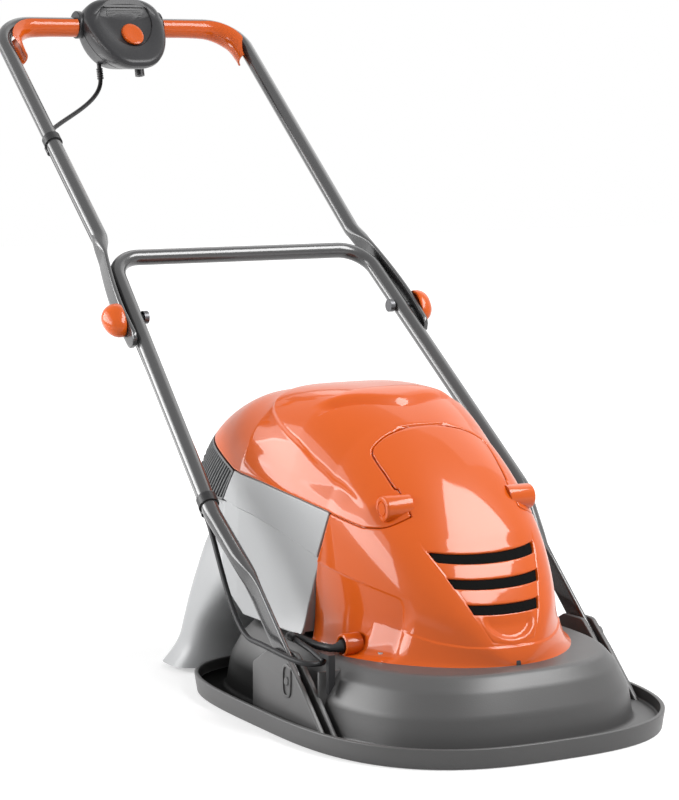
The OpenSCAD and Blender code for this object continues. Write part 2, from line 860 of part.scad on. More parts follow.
module blade_spacer() {
    color("#777") ring(blade_z + blade_t, impeller_z - blade_z - blade_t, spacer_d, shaft_d);
}
module blade() {
    color("#b9bcc0") translate([0, rotor_y, blade_z]) difference() {
        translate([-blade_l / 2, -blade_w / 2, 0]) cube([blade_l, blade_w, blade_t]);
        translate([0, 0, -over]) cylinder(h = blade_t + 2 * over, d = shaft_d);
        for (s = [0, 180])
            rotate(s) translate([blade_l / 4, blade_w / 2 - blade_t, -over])
                rotate([-blade_bevel, 0, 0]) cube([blade_l, blade_w, 4 * blade_t]);
    }
}
module blade_bolt() {
    color("#666") translate([0, rotor_y, shaft_low_z]) union() {
        cylinder(h = blade_bolt_l - over, d = shaft_d / 2);
        translate([0, 0, -bolt_head_t]) cylinder(h = bolt_head_t, d = spacer_d);
    }
}

// Lower handle: one tube from a deck pivot up its leg, over the crossbar and down again
function leg_point(down) = in_handle([leg_x + down * tan(leg_splay), -down, 0]);
function lower_half(stop) =
    let (
        foot = leg_point(leg_l), start = [pivot_x, flat_start_y, flat_start_z],
        d = (start - foot) / norm(start - foot)
    )
    concat(
        [for (i = [0 : corner_steps])
            let (a = 90 - (90 - leg_splay) * i / corner_steps)
            in_handle([corner_x + lower_bend * cos(a), bar_up - lower_bend + lower_bend * sin(a), 0])],
        [
            leg_point(leg_l - tube_d), leg_point(leg_l - tube_d / 3), foot + d * tube_d / 3, foot
                + d * tube_d,
            start - d * stop
        ]
    );
function flip(p) = [for (i = [len(p) - 1 : -1 : 0]) [-p[i][0], p[i][1], p[i][2]]];
module lower_path(r, stop) {
    half = lower_half(stop);
    cord(concat(flip(half), half), r, [0, -sin(handle_tilt), cos(handle_tilt)], tube_sides);
}
module leg_flat() {
    run = [flat_start_y - pivot_y, flat_start_z - pivot_z];
    translate([pivot_x - flat_t / 2, pivot_y, pivot_z]) rotate([atan2(run[1], run[0]), 0, 0]) union() {
        rotate([0, 90, 0]) cylinder(h = flat_t, d = flat_w);
        translate([0, 0, -flat_w / 2]) cube([flat_t, norm(run), flat_w]);
    }
}
module lower_handle() {
    run = [flat_start_y - pivot_y, flat_start_z - pivot_z];
    color("#4a4b4d") difference() {
        union() {
            difference() {
                lower_path(tube_d / 2, 0);
                lower_path(tube_d / 2 - tube_wall, 2 * tube_wall);
            }
            both_sides() leg_flat();
            both_sides() translate([pivot_x, flat_start_y, flat_start_z])
                rotate([atan2(run[1], run[0]), 0, 0]) rotate([90, 0, 0])
                    cylinder(h = tube_d / 4, d = tube_d);
        }
        both_sides() translate([0, pivot_y, pivot_z]) x_rod(pivot_x - flat_t, 2 * flat_t,
            bolt_d / 2 + fit / 2);
        both_sides() at_handle() x_rod(leg_x - tube_d, 2 * tube_d, bolt_d / 2);
    }
}
module clamp_bolts() {
    inner = leg_x - tube_d / 2;
    color("silver") both_sides() at_handle() union() {
        x_rod(inner - nut_t - side_gap, flat_in + flat_t + bolt_tail - inner + nut_t, bolt_d / 2);
        x_rod(inner - nut_t - side_gap, nut_t, bolt_d);
    }
}
module tube_clip(up, x, turn) {
    at_handle() translate([x, up, 0]) rotate(turn) rotate([90, 0, 0]) difference() {
        union() {
            cylinder(h = clip_l, d = tube_d + 2 * clip_t);
            translate([0, -lead_drop, 0]) cylinder(h = clip_l, d = lead_d + 2 * clip_t);
        }
        translate([0, 0, -over]) cylinder(h = clip_l + 2 * over, d = tube_d + fit);
        translate([0, -lead_drop, -over]) cylinder(h = clip_l + 2 * over, d = lead_d + fit);
    }
}

// Upper handle: grip bar, two legs and flattened ends outside the lower legs
module upper_path(r) {
    half = upper_w / 2;
    at_handle() union() {
        translate([0, grip_l, 0]) x_rod(-half + upper_bend, 2 * half - 2 * upper_bend, r);
        both_sides() {
            translate([half - upper_bend, grip_l - upper_bend, 0])
                rotate_extrude(angle = 90) translate([upper_bend, 0]) circle(r);
            translate([half, grip_l - upper_bend, 0]) rotate([90, 0, 0])
                cylinder(h = grip_l - upper_bend - round_from, r = r);
        }
    }
}
module upper_handle() {
    half = upper_w / 2;
    color("#4a4b4d") difference() {
        union() {
            difference() {
                upper_path(tube_d / 2);
                upper_path(tube_d / 2 - tube_wall);
            }
            at_handle() both_sides() {
                hull() {
                    translate([half, round_from + over, 0]) rotate([90, 0, 0]) cylinder(h = 2 * over,
                        d = tube_d, $fn = 32);
                    translate([flat_in, flat_top, -flat_w / 2]) cube([flat_t, over, flat_w]);
                }
                translate([flat_in, 0, -flat_w / 2]) cube([flat_t, flat_top + over, flat_w]);
                translate([flat_in, -flat_tip, -flat_w / 2]) cube([flat_t, flat_tip + over, flat_w]);
                translate([flat_in, -flat_tip, 0]) rotate([0, 90, 0]) cylinder(h = flat_t, d = flat_w);
            }
        }
        both_sides() at_handle() x_rod(flat_in - over, flat_t + 2 * over, bolt_d / 2 + fit / 2);
    }
}

// Lower clip, upper clip and the lead
module lower_clip() {
    color("#1c1c1d") tube_clip(lower_clip_at, -leg_x + lower_clip_at * tan(leg_splay), -leg_splay);
}
module upper_clip() {
    color("#1c1c1d") tube_clip(upper_clip_at, -upper_w / 2, 0);
}
module lead_upper() {
    color("#151515") cord(upper_route, lead_d / 2);
}
module lead_cross() {
    color("#151515") cord(cross_route, lead_d / 2);
}
module lead_lower() {
    color("#151515") cord(lower_route, lead_d / 2);
}
module lead_loop() {
    color("#151515") cord(loop_route, lead_d / 2, [0, 0, 1]);
}

// Switch box: outline in X and Z, split at the grip bar
function pod_outline(inset) = [
    for (i = [0 : ring_steps - 1])
        let (a = 360 * i / ring_steps)
        [(box_w / 2 - inset) * signed_pow(cos(a), 2 / pod_round_share),
         box_h * box_up_share - box_h / 2 + (box_h / 2 - inset) * signed_pow(sin(a), 2 / pod_round_share)]
];
module pod_slab(from, to, inset) {
    translate([0, to, 0]) rotate([90, 0, 0]) linear_extrude(to - from) polygon(pod_outline(inset));
}
module pod_bores() {
    x_rod(-box_w, 2 * box_w, tube_d / 2 + fit / 2);
    rotate([handle_tilt + box_lean, 0, 0]) translate([0, 0, lever_axis_up])
        x_rod(-box_w, 2 * box_w, lever_shaft_d / 2 + fit / 2);
}
module switch_front() {
    color("#3a3b3d") at_box() difference() {
        pod_slab(-box_d / 2, 0, 0);
        pod_slab(box_wall - box_d / 2, over, box_wall);
        pod_bores();
        translate([0, over - box_d / 2 + box_wall, lock_z]) rotate([90, 0, 0])
            cylinder(h = box_wall + 2 * over, d = lock_w + 2 * clear);
    }
}
module switch_rear() {
    color("#3a3b3d") at_box() difference() {
        pod_slab(0, box_d / 2, 0);
        pod_slab(-over, box_d / 2 - box_wall, box_wall);
        pod_bores();
        translate([gland_x, gland_y, -box_h]) cylinder(h = box_h, d = gland_d);
        translate([lead_exit_x, gland_y, -box_h]) cylinder(h = box_h / 2, d = lead_d + fit);
        for (p = screw_places)
            translate([p[0], box_d / 2 - box_wall - over, p[1]]) rotate([-90, 0, 0])
                cylinder(h = box_wall + 2 * over, d = screw_d);
    }
}
module mains_gland() {
    color("#1c1c1d") at_box() translate([gland_x, gland_y, -box_h * (1 - box_up_share) - gland_d / 4])
        difference() {
            cylinder(h = gland_l, d = gland_d);
            translate([0, 0, -over]) cylinder(h = gland_l + 2 * over, d = lead_d);
        }
}
module micro_switch() {
    color("#202020") at_box() translate([-switch_l / 2, box_d / 2 - box_wall - switch_w, -tube_d - switch_h])
        cube([switch_l, switch_w, switch_h]);
}
module terminal_block() {
    color("#d8d8d0") at_box()
        translate([switch_l / 2 + clear, box_d / 2 - box_wall - switch_w, -tube_d - switch_h])
            cube([switch_l / 2, switch_w, switch_h]);
}
module switch_screws() {
    color("#777") at_box() for (p = screw_places)
        translate([p[0], box_d / 2 - box_wall, p[1]]) rotate([-90, 0, 0]) union() {
            cylinder(h = box_wall, d = screw_d);
            translate([0, 0, box_wall]) cylinder(h = screw_head_h, d = screw_head_d);
        }
}

// Switch levers: half shells inside the grip bar and its bends
function lever_ring(o, out) = concat(
    [for (i = [0 : lever_sides])
        let (a = 90 + 180 * i / lever_sides)
        o + (lever_r * cos(a) - clear) * out + [0, 0, lever_r * sin(a)]],
    [for (i = [lever_sides : -1 : 0])
        let (a = 90 + 180 * i / lever_sides, r = lever_r - lever_wall)
        o + (r * cos(a) - clear) * out + [0, 0, r * sin(a)]]
);
module lever_half() {
    half = upper_w / 2;
    arm = 2 * lever_wall;
    bend_x = half - upper_bend;
    loft(concat(
        [lever_ring([lever_from, grip_l, 0], [0, 1, 0])],
        [for (i = [0 : lever_steps])
            let (a = 90 - lever_arc * i / lever_steps, out = [cos(a), sin(a), 0])
            lever_ring([bend_x, grip_l - upper_bend, 0] + upper_bend * out, out)]
    ));
    translate([lever_from, grip_l - lever_r + lever_wall / 2, lever_r - 2 * lever_wall])
        cube([arm, lever_r - lever_wall / 2, 2 * lever_wall + lever_axis_up - lever_r]);
    translate([lever_from, grip_l, lever_axis_up]) rotate([0, 90, 0]) cylinder(h = arm, r = lever_wall);
}
module lever_left() {
    color("#e8641e") at_handle() mirror([1, 0, 0]) difference() {
        lever_half();
        lever_bore();
    }
}
module lever_right() {
    color("#e8641e") at_handle() difference() {
        lever_half();
        lever_bore();
    }
}
module lever_bore() {
    translate([0, grip_l, lever_axis_up]) x_rod(lever_from - over, box_w, lever_shaft_d / 2);
}
module lever_shaft() {
    reach = lever_from + 2 * lever_wall;
    color("silver") at_handle() translate([0, grip_l, lever_axis_up]) x_rod(-reach, 2 * reach,
        lever_shaft_d / 2);
}
module lock_button() {
    face = box_d / 2 + lock_proud;
    color("#e8641e") at_box() translate([0, -face, lock_z]) rotate([-90, 0, 0]) union() {
        cylinder(h = lock_l, d = lock_w);
        translate([0, 0, lock_proud + box_wall + clear]) cylinder(h = lock_l - lock_proud - box_wall,
            d = lock_w + 2 * box_wall);
    }
}

// Clamp knob: round grip with a wing, outside the flattened handle end
module knob_shape() {
    start = flat_in + flat_t + side_gap;
    at_handle() difference() {
        union() {
            x_rod(start, knob_l, knob_d / 2);
            translate([start, -knob_wing / 2, 0]) rotate([knob_turn, 0, 0])
                cube([knob_l, knob_wing, knob_d / 2 + knob_wing / 2]);
        }
        x_rod(start - over, knob_l - body_wall + over, bolt_d / 2 + fit / 2);
    }
}
module knob_left() {
    color("#e8641e") mirror([1, 0, 0]) knob_shape();
}
module knob_right() {
    color("#e8641e") knob_shape();
}

hood();
motor_cover();
vent_foam();
grass_box();
outlet_grille();
rear_duct();
lead_grommet();
lead_hook();
motor_plate();
motor_can();
stator();
end_bell();
brush_holders();
brushes();
lower_bearing();
upper_bearing();
motor_screws();
cover_screws();
suppressor();
hinge_pins();
pivot_bolts();
lead_tail();
rotor_shaft();
armature();
commutator();
impeller();
blade_spacer();
blade();
blade_bolt();
lid();
lower_handle();
clamp_bolts();
lower_clip();
lead_lower();
lead_loop();
upper_handle();
switch_front();
switch_rear();
micro_switch();
terminal_block();
mains_gland();
switch_screws();
upper_clip();
lead_upper();
lead_cross();
lever_left();
lever_right();
lever_shaft();
lock_button();
knob_left();
knob_right();
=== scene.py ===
import json
import math

import bmesh
import bpy
import numpy as np
from mathutils import Matrix, Vector


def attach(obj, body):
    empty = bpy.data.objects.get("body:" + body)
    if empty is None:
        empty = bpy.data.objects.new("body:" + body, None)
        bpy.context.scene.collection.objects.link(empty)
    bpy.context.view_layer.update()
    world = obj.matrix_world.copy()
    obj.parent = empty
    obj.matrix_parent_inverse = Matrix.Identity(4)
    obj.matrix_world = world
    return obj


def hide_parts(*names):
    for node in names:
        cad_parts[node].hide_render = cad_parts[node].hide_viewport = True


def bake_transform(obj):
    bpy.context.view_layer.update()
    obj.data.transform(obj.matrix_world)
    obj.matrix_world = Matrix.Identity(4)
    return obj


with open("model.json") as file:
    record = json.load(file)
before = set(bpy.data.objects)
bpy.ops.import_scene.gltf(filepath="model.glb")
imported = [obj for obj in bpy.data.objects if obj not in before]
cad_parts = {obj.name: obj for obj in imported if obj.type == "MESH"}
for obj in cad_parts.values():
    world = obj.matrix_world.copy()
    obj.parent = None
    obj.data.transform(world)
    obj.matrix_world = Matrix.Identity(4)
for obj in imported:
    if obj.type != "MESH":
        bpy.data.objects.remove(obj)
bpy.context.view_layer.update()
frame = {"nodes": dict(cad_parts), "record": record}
nodes = frame["nodes"]

# Sizes and places in millimetres, angles in radians, powers for how square a form is
MM = 0.001
WALL = 2.6
DECK_HALF = 218
DECK_FRONT = 258
DECK_REAR = 280
DECK_TOP = 84
DECK_FRONT_POWER = 2.8
DECK_REAR_POWER = 4.2
BODY_HALF = 154
BODY_FRONT = 170
BODY_REAR = 360
BODY_REAR_POWER = 9.0
WIDEST_Y = 40
CROWN_Y = 110
CROWN_Z = 356
SHOULDER_Z = 238
FACE_Y = -30
HINGE = (-42.0, 242.0)
LOBE_R = 20.0
PIVOT = (-25.0, 60.0)
LEG_END_X = 194
TUBE_R = 10
FLAT_R = 12.5
LOWER_HALF = 186
LOWER_UP = 107
LOWER_BEND_R = 40
LOWER_BEND_X = 141.34
LEG_L = 323
KNOB_Y = 397
KNOB_Z = 420
GRIP_UP = 578
GRIP_HALF = 180
GRIP_BEND_R = 50
GRIP_Y = 848.73
GRIP_Z = 780.6
LEAD_R = 3.0
INLET = (-33, 94)
TILT = math.radians(38.6)
LEAN = math.radians(14)
SPLAY = math.radians(3.9)

# Numbers without a size: nearly nothing, far off, and off the face that a field belongs to
TINY = 1e-12
FAR = 1e9
AWAY = 50.0


# Number helpers
def smooth(start, end, x):
    """0 up to start, 1 from end on and a soft step between them."""
    t = np.clip((np.asarray(x, float) - start) / (end - start), 0, 1)
    return t * t * (3 - 2 * t)


def bow(share, power):
    """Height of an arch of height 1 at a share of its half length."""
    return np.maximum(0, 1 - np.minimum(1, np.abs(share)) ** power) ** (1 / power)


def signed_power(value, power):
    return np.sign(value) * np.abs(value) ** power


def unit(vector):
    return vector / np.maximum(np.linalg.norm(vector, axis=-1, keepdims=True), TINY)


def turn(count):
    """Even angles once round, without the closing one."""
    return np.arange(count) * 2 * math.pi / count


def table(pairs):
    """A function through (x, y) pairs, straight between them and level outside."""
    xs, ys = np.array(sorted(pairs), float).T
    return lambda x: np.interp(x, xs, ys)


def outline_distance(a, b, outline):
    """Distance of the points (a, b) to a closed outline, positive inside."""
    corners = np.array(outline, float)
    distance = np.full(len(a), FAR)
    inside = np.zeros(len(a), bool)
    for (ax, ay), (bx, by) in zip(corners, np.roll(corners, -1, 0)):
        ex, ey = bx - ax, by - ay
        t = np.clip(((a - ax) * ex + (b - ay) * ey) / max(ex * ex + ey * ey, TINY), 0, 1)
        distance = np.minimum(distance, np.hypot(a - ax - t * ex, b - ay - t * ey))
        inside ^= ((ay > b) != (by > b)) & (a < ax + (b - ay) * ex / (ey if ey else TINY))
    return np.where(inside, distance, -distance)


def side_distance(p, outline):
    """Distance to an outline in the side view (y, z), positive inside."""
    return outline_distance(p[:, 1], p[:, 2], outline)


def fillet(points, radii, steps=7):
    """An open outline with its inner corners rounded, each within its half of a side."""
    p = np.array(points, float)
    side_share = 0.48
    out = [p[0]]
    for i in range(1, len(p) - 1):
        back, ahead = p[i - 1] - p[i], p[i + 1] - p[i]
        u, v = unit(back), unit(ahead)
        half = math.acos(float(np.clip(u @ v, -1, 1))) / 2
        room = side_share * min(np.linalg.norm(back), np.linalg.norm(ahead))
        cut = min(radii[i] / max(math.tan(half), 1e-6), room)
        a, b = p[i] + u * cut, p[i] + v * cut
        for t in np.linspace(0, 1, steps if radii[i] else 1):
            out.append((1 - t) ** 2 * a + 2 * t * (1 - t) * p[i] + t * t * b)
    out.append(p[-1])
    return np.array(out)


def chaikin(points, times=3):
    """A closed outline with its corners cut again and again until it is smooth."""
    p = np.array(points, float)
    for _ in range(times):
        q = np.roll(p, -1, 0)
        p = np.stack([0.75 * p + 0.25 * q, 0.25 * p + 0.75 * q], 1).reshape(-1, 2)
    return p


def both_sides(half):
    """A closed outline from its right half."""
    return half + [(-x, y) for x, y in half[::-1]]


def bezier(a, b, c, d, count=24):
    t = np.linspace(0, 1, count)[:, None]
    a, b, c, d = (np.array(v, float) for v in (a, b, c, d))
    return (1 - t) ** 3 * a + 3 * (1 - t) ** 2 * t * b + 3 * (1 - t) * t * t * c + t ** 3 * d


def path_run(path):
    """Length along a path at each of its points."""
    return np.concatenate([[0], np.cumsum(np.linalg.norm(np.diff(path, axis=0), axis=1))])


def resample(path, step):
    """The path with even steps, and the length along it."""
    p = np.asarray(path, float)
    run = path_run(p)
    even = np.linspace(0, run[-1], max(2, int(run[-1] / step) + 1))
    return np.stack([np.interp(even, run, p[:, i]) for i in range(3)], 1), even


# Shader node helpers
def group(name, inputs, outputs):
    tree = bpy.data.node_groups.new(name, "ShaderNodeTree")
    for key, kind, value in inputs:
        socket = tree.interface.new_socket(key, in_out="INPUT", socket_type=kind)
        socket.default_value = value
    for key, kind in outputs:
        tree.interface.new_socket(key, in_out="OUTPUT", socket_type=kind)
    return tree, tree.nodes.new("NodeGroupInput"), tree.nodes.new("NodeGroupOutput")


def math_node(tree, operation, a, b):
    node = tree.nodes.new("ShaderNodeMath")
    node.operation = operation
    for socket, value in zip(node.inputs, (a, b)):
        if isinstance(value, (int, float)):
            socket.default_value = value
        else:
            tree.links.new(value, socket)
    return node.outputs[0]


def map_range(tree, value, start, end, low=0.0, high=1.0, kind="LINEAR"):
    node = tree.nodes.new("ShaderNodeMapRange")
    node.interpolation_type = kind
    for key, number in (("From Min", start), ("From Max", end), ("To Min", low), ("To Max", high)):
        node.inputs[key].default_value = number
    tree.links.new(value, node.inputs["Value"])
    return node.outputs["Result"]


def background_ray(tree):
    """1 for rays that see the white background: from the camera, by gloss or through glass."""
    path = tree.nodes.new("ShaderNodeLightPath")
    seen = math_node(tree, "MAXIMUM", path.outputs["Is Camera Ray"], path.outputs["Is Glossy Ray"])
    return math_node(tree, "MAXIMUM", seen, path.outputs["Is Transmission Ray"])


# Materials
def make_grain():
    """Moulded grain: the normal of a fine pitted height, and its noise as a mask."""
    inputs = [("Scale", "NodeSocketFloat", 900.0), ("Depth", "NodeSocketFloat", 0.2)]
    outputs = [("Normal", "NodeSocketVector"), ("Mask", "NodeSocketFloat")]
    tree, given, result = group("moulded_grain", inputs, outputs)
    where = tree.nodes.new("ShaderNodeTexCoord")
    noise = tree.nodes.new("ShaderNodeTexNoise")
    noise.inputs["Detail"].default_value = 2.0
    pits = tree.nodes.new("ShaderNodeTexVoronoi")
    pits.feature = "SMOOTH_F1"
    bump = tree.nodes.new("ShaderNodeBump")
    bump.inputs["Distance"].default_value = 0.0004
    tree.links.new(where.outputs["Object"], noise.inputs["Vector"])
    tree.links.new(where.outputs["Object"], pits.inputs["Vector"])
    tree.links.new(given.outputs["Scale"], noise.inputs["Scale"])
    tree.links.new(math_node(tree, "MULTIPLY", given.outputs["Scale"], 0.6), pits.inputs["Scale"])
    tree.links.new(given.outputs["Depth"], bump.inputs["Strength"])
    height = math_node(tree, "ADD", noise.outputs["Fac"], pits.outputs["Distance"])
    tree.links.new(height, bump.inputs["Height"])
    tree.links.new(bump.outputs["Normal"], result.inputs["Normal"])
    tree.links.new(noise.outputs["Fac"], result.inputs["Mask"])
    return tree


def make_tone():
    """Slow, faint change of colour over the moulding."""
    inputs = [("Colour", "NodeSocketColor", (0.5, 0.5, 0.5, 1)), ("Spread", "NodeSocketFloat", 0.05),
              ("Scale", "NodeSocketFloat", 9.0)]
    outputs = [("Colour", "NodeSocketColor"), ("Mask", "NodeSocketFloat")]
    tree, given, result = group("tone_drift", inputs, outputs)
    where = tree.nodes.new("ShaderNodeTexCoord")
    noise = tree.nodes.new("ShaderNodeTexNoise")
    noise.inputs["Detail"].default_value = 4.0
    tree.links.new(where.outputs["Object"], noise.inputs["Vector"])
    tree.links.new(given.outputs["Scale"], noise.inputs["Scale"])
    drift = math_node(tree, "SUBTRACT", noise.outputs["Fac"], 0.5)
    drift = math_node(tree, "MULTIPLY", drift, given.outputs["Spread"])
    scaled = tree.nodes.new("ShaderNodeVectorMath")
    scaled.operation = "SCALE"
    tree.links.new(given.outputs["Colour"], scaled.inputs[0])
    tree.links.new(math_node(tree, "ADD", drift, 1.0), scaled.inputs["Scale"])
    tree.links.new(scaled.outputs[0], result.inputs["Colour"])
    tree.links.new(noise.outputs["Fac"], result.inputs["Mask"])
    return tree


GRAIN, TONE = make_grain(), make_tone()


def material(name, colour, rough, grain, spread, metallic=0.0, coat=0.0, coat_rough=0.05, rough_spread=0.08,
             specular=0.5):
    """A finish with colour drift and grain, where grain is its (scale, depth)."""
    made = bpy.data.materials.new(name)
    made.use_nodes = True
    tree = made.node_tree
    shader = tree.nodes["Principled BSDF"]
    shader.inputs["Metallic"].default_value = metallic
    shader.inputs["Coat Weight"].default_value = coat
    shader.inputs["Coat Roughness"].default_value = coat_rough
    shader.inputs["Specular IOR Level"].default_value = specular
    tone = tree.nodes.new("ShaderNodeGroup")
    tone.node_tree = TONE
    tone.inputs["Colour"].default_value = (*colour, 1)
    tone.inputs["Spread"].default_value = spread
    tree.links.new(tone.outputs["Colour"], shader.inputs["Base Color"])
    pitted = tree.nodes.new("ShaderNodeGroup")
    pitted.node_tree = GRAIN
    pitted.inputs["Scale"].default_value, pitted.inputs["Depth"].default_value = grain
    tree.links.new(pitted.outputs["Normal"], shader.inputs["Normal"])
    uneven = math_node(tree, "MULTIPLY", tone.outputs["Mask"], rough_spread)
    tree.links.new(math_node(tree, "ADD", uneven, rough - rough_spread / 2), shader.inputs["Roughness"])
    return made


ORANGE = material("orange_gloss", (0.56, 0.086, 0.004), 0.30, (260, 0.010), 0.05, coat=0.5, rough_spread=0.05,
                  specular=0.10)
HOOD = material("hood_dark", (0.063, 0.062, 0.062), 0.42, (1100, 0.12), 0.10)
GREY = material("box_grey", (0.33, 0.335, 0.34), 0.38, (900, 0.08), 0.06)
FIN = material("fin_dark", (0.070, 0.071, 0.073), 0.42, (800, 0.1), 0.1)
POD = material("switch_dark", (0.026, 0.026, 0.028), 0.34, (900, 0.08), 0.1, specular=0.28)
TUBE = material("tube_paint", (0.030, 0.030, 0.031), 0.26, (420, 0.010), 0.1, coat=0.6, coat_rough=0.10)
BLACK = material("black_plastic", (0.012, 0.012, 0.013), 0.42, (900, 0.15), 0.1, specular=0.35)
LEAD = material("lead_black", (0.010, 0.010, 0.011), 0.46, (1200, 0.12), 0.1, specular=0.28)
FOAM = material("foam_black", (0.006, 0.006, 0.006), 0.95, (420, 1.0), 0.5, specular=0.06)
STEEL = material("steel_plain", (0.56, 0.56, 0.57), 0.32, (1600, 0.08), 0.08, metallic=1.0)
IRON = material("lamination_iron", (0.16, 0.15, 0.15), 0.45, (1500, 0.3), 0.2, metallic=0.8)
BRASS = material("brass_plain", (0.62, 0.42, 0.16), 0.33, (1500, 0.08), 0.1, metallic=1.0)
CARBON = material("carbon_block", (0.02, 0.02, 0.021), 0.6, (1300, 0.3), 0.2)
PALE = material("pale_plastic", (0.60, 0.58, 0.52), 0.45, (900, 0.1), 0.06)
BOLT = material("bolt_dark", (0.10, 0.10, 0.105), 0.38, (1500, 0.1), 0.1, metallic=0.9)
# A copy of the hood's finish, with painted shade in the gutter
HOOD_PAINTED_SHADE = material("hood_gutter", (0.063, 0.062, 0.062), 0.42, (1100, 0.12), 0.10)


def paint_gutter_shade(tree):
    """Painted shade that deepens towards the rear and the floor of the gutter: a near-black colour and a weaker
    specular.
    """
    shader = tree.nodes["Principled BSDF"]
    where = tree.nodes.new("ShaderNodeTexCoord")
    axes = tree.nodes.new("ShaderNodeSeparateXYZ")
    tree.links.new(where.outputs["Object"], axes.inputs[0])
    # Mask of the painted shade: it grows towards the rear and down towards the gutter floor
    rear = map_range(tree, axes.outputs["Y"], 0.02, 0.09, kind="SMOOTHSTEP")
    deep = map_range(tree, axes.outputs["Z"], 0.074, 0.040, kind="SMOOTHSTEP")
    mask = math_node(tree, "MULTIPLY", rear, deep)
    mix = tree.nodes.new("ShaderNodeMix")
    mix.data_type = "RGBA"
    # Near-black colour of the painted shade
    mix.inputs[7].default_value = (0.004, 0.004, 0.004, 1)
    tree.links.new(mask, mix.inputs[0])
    tree.links.new(shader.inputs["Base Color"].links[0].from_socket, mix.inputs[6])
    tree.links.new(mix.outputs[2], shader.inputs["Base Color"])
    # The painted shade also dims the specular
    dull = math_node(tree, "SUBTRACT", 0.5, math_node(tree, "MULTIPLY", mask, 0.48))
    tree.links.new(dull, shader.inputs["Specular IOR Level"])


paint_gutter_shade(HOOD_PAINTED_SHADE.node_tree)


# Mesh helpers
def piece(name, points, faces, finish, body, slot, stands_for=(), outward=False):
    """Makes a finished piece from points in millimetres."""
    mesh = bpy.data.meshes.new(name)
    mesh.from_pydata((np.asarray(points, float) * MM).tolist(), [], [list(map(int, face)) for face in faces])
    mesh.validate()
    if outward:
        edit = bmesh.new()
        edit.from_mesh(mesh)
        bmesh.ops.remove_doubles(edit, verts=edit.verts, dist=1e-6)
        bmesh.ops.recalc_face_normals(edit, faces=edit.faces)
        edit.to_mesh(mesh)
        edit.free()
    mesh.shade_smooth()
    mesh.set_sharp_from_angle(angle=math.radians(38))
    mesh.materials.append(finish)
    ob = bpy.data.objects.new(name, mesh)
    bpy.context.scene.collection.objects.link(ob)
    if body:
        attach(ob, body)
    if stands_for:
        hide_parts(*stands_for)
    return ob


class Parts:
    """Gathers several shapes into one point and face list."""

    def __init__(self):
        self.points, self.faces, self.count = [], [], 0

    def add(self, points, faces):
        points = np.asarray(points, float).reshape(-1, 3)
        self.points.append(points)
        self.faces += [[int(i) + self.count for i in face] for face in faces]
        self.count += len(points)
        return self

    def mirrored(self):
        """Adds a copy of everything on the other side of the middle plane."""
        points, faces = self.out()
        return self.add(points * [-1, 1, 1], [face[::-1] for face in faces])

    def out(self):
        return np.concatenate(self.points), self.faces


def rings_mesh(rings, caps=True):
    """Skin over closed rings of equal count."""
    rings = [np.asarray(ring, float) for ring in rings]
    size, last = len(rings[0]), len(rings) - 1
    faces = []
    for k in range(last):
        for i in range(size):
            j = (i + 1) % size
            faces.append([k * size + i, (k + 1) * size + i, (k + 1) * size + j, k * size + j])
    if caps:
        faces.append(list(range(size)))
        faces.append([last * size + i for i in range(size - 1, -1, -1)])
    return np.concatenate(rings), faces


def lathe_x(profile, y, z, count=64):
    """A turned shape along X from (x, radius) pairs."""
    a = turn(count)
    rings = [np.stack([np.full(count, x), y + r * np.cos(a), z + r * np.sin(a)], 1) for x, r in profile]
    return rings_mesh(rings)


def cross_directions(path, first):
    """Two directions across a path, carried along it without twist."""
    along = unit(np.gradient(path, axis=0))
    u = np.asarray(first, float)
    across = []
    for direction in along:
        u = unit(u - (u @ direction) * direction)
        across.append(u)
    across = np.array(across)
    return across, np.cross(along, across)


def sweep(path, half_u, half_v, power, first, count=40):
    """Tube through a path whose section goes from round to flat."""
    p = np.asarray(path, float)
    u, v = cross_directions(p, first)
    a = turn(count)
    rings = []
    for i in range(len(p)):
        across = half_u[i] * signed_power(np.cos(a), 2 / power[i])
        up = half_v[i] * signed_power(np.sin(a), 2 / power[i])
        rings.append(p[i] + np.outer(across, u[i]) + np.outer(up, v[i]))
    return rings_mesh(rings)


def round_sweep(path, radius, first, count):
    return sweep(path, radius, radius, np.full(len(path), 2.0), first, count)


def prism_x(outline, x0, x1, bevel, segments=3):
    """Side view outline (y, z) made into a plate across X with rounded edges."""
    edit = bmesh.new()
    low = [edit.verts.new((x0, y, z)) for y, z in outline]
    high = [edit.verts.new((x1, y, z)) for y, z in outline]
    edit.faces.new(low[::-1])
    edit.faces.new(high)
    for i in range(len(outline)):
        j = (i + 1) % len(outline)
        edit.faces.new([low[i], low[j], high[j], high[i]])
    bmesh.ops.recalc_face_normals(edit, faces=edit.faces)
    corners = [edge for edge in edit.edges if edge.calc_face_angle(0) > 0.5]
    bmesh.ops.bevel(edit, geom=corners, offset=bevel, segments=segments, affect="EDGES", profile=0.5)
    edit.verts.index_update()
    points = [tuple(vert.co) for vert in edit.verts]
    faces = [[vert.index for vert in face.verts] for face in edit.faces]
    edit.free()
    return points, faces


# Body surface
def plan_half(y):
    ahead = bow((WIDEST_Y - y) / (WIDEST_Y + BODY_FRONT), 2.0)
    behind = bow((y - WIDEST_Y) / (BODY_REAR - WIDEST_Y), BODY_REAR_POWER)
    return np.where(y < WIDEST_Y, BODY_HALF * ahead, BODY_HALF * behind)


def side_top(y):
    ahead = (CROWN_Z - DECK_TOP) * bow((CROWN_Y - y) / (CROWN_Y + BODY_FRONT), 1.38)
    behind = (CROWN_Z - SHOULDER_Z) * bow((y - CROWN_Y) / (BODY_REAR - CROWN_Y), 2.5)
    return np.where(y < CROWN_Y, DECK_TOP + ahead, SHOULDER_Z + behind)


def rear_part(y):
    return np.clip((y - WIDEST_Y) / 160, 0, 1)


def arch_power(y):
    return 2.6 + rear_part(y)


def waist(y, up):
    """Share of the width that is left where the front flanks draw in."""
    return 1 - 0.15 * (1 - rear_part(y)) * np.sin(math.pi * np.clip(up, 0, 1) ** 0.75)


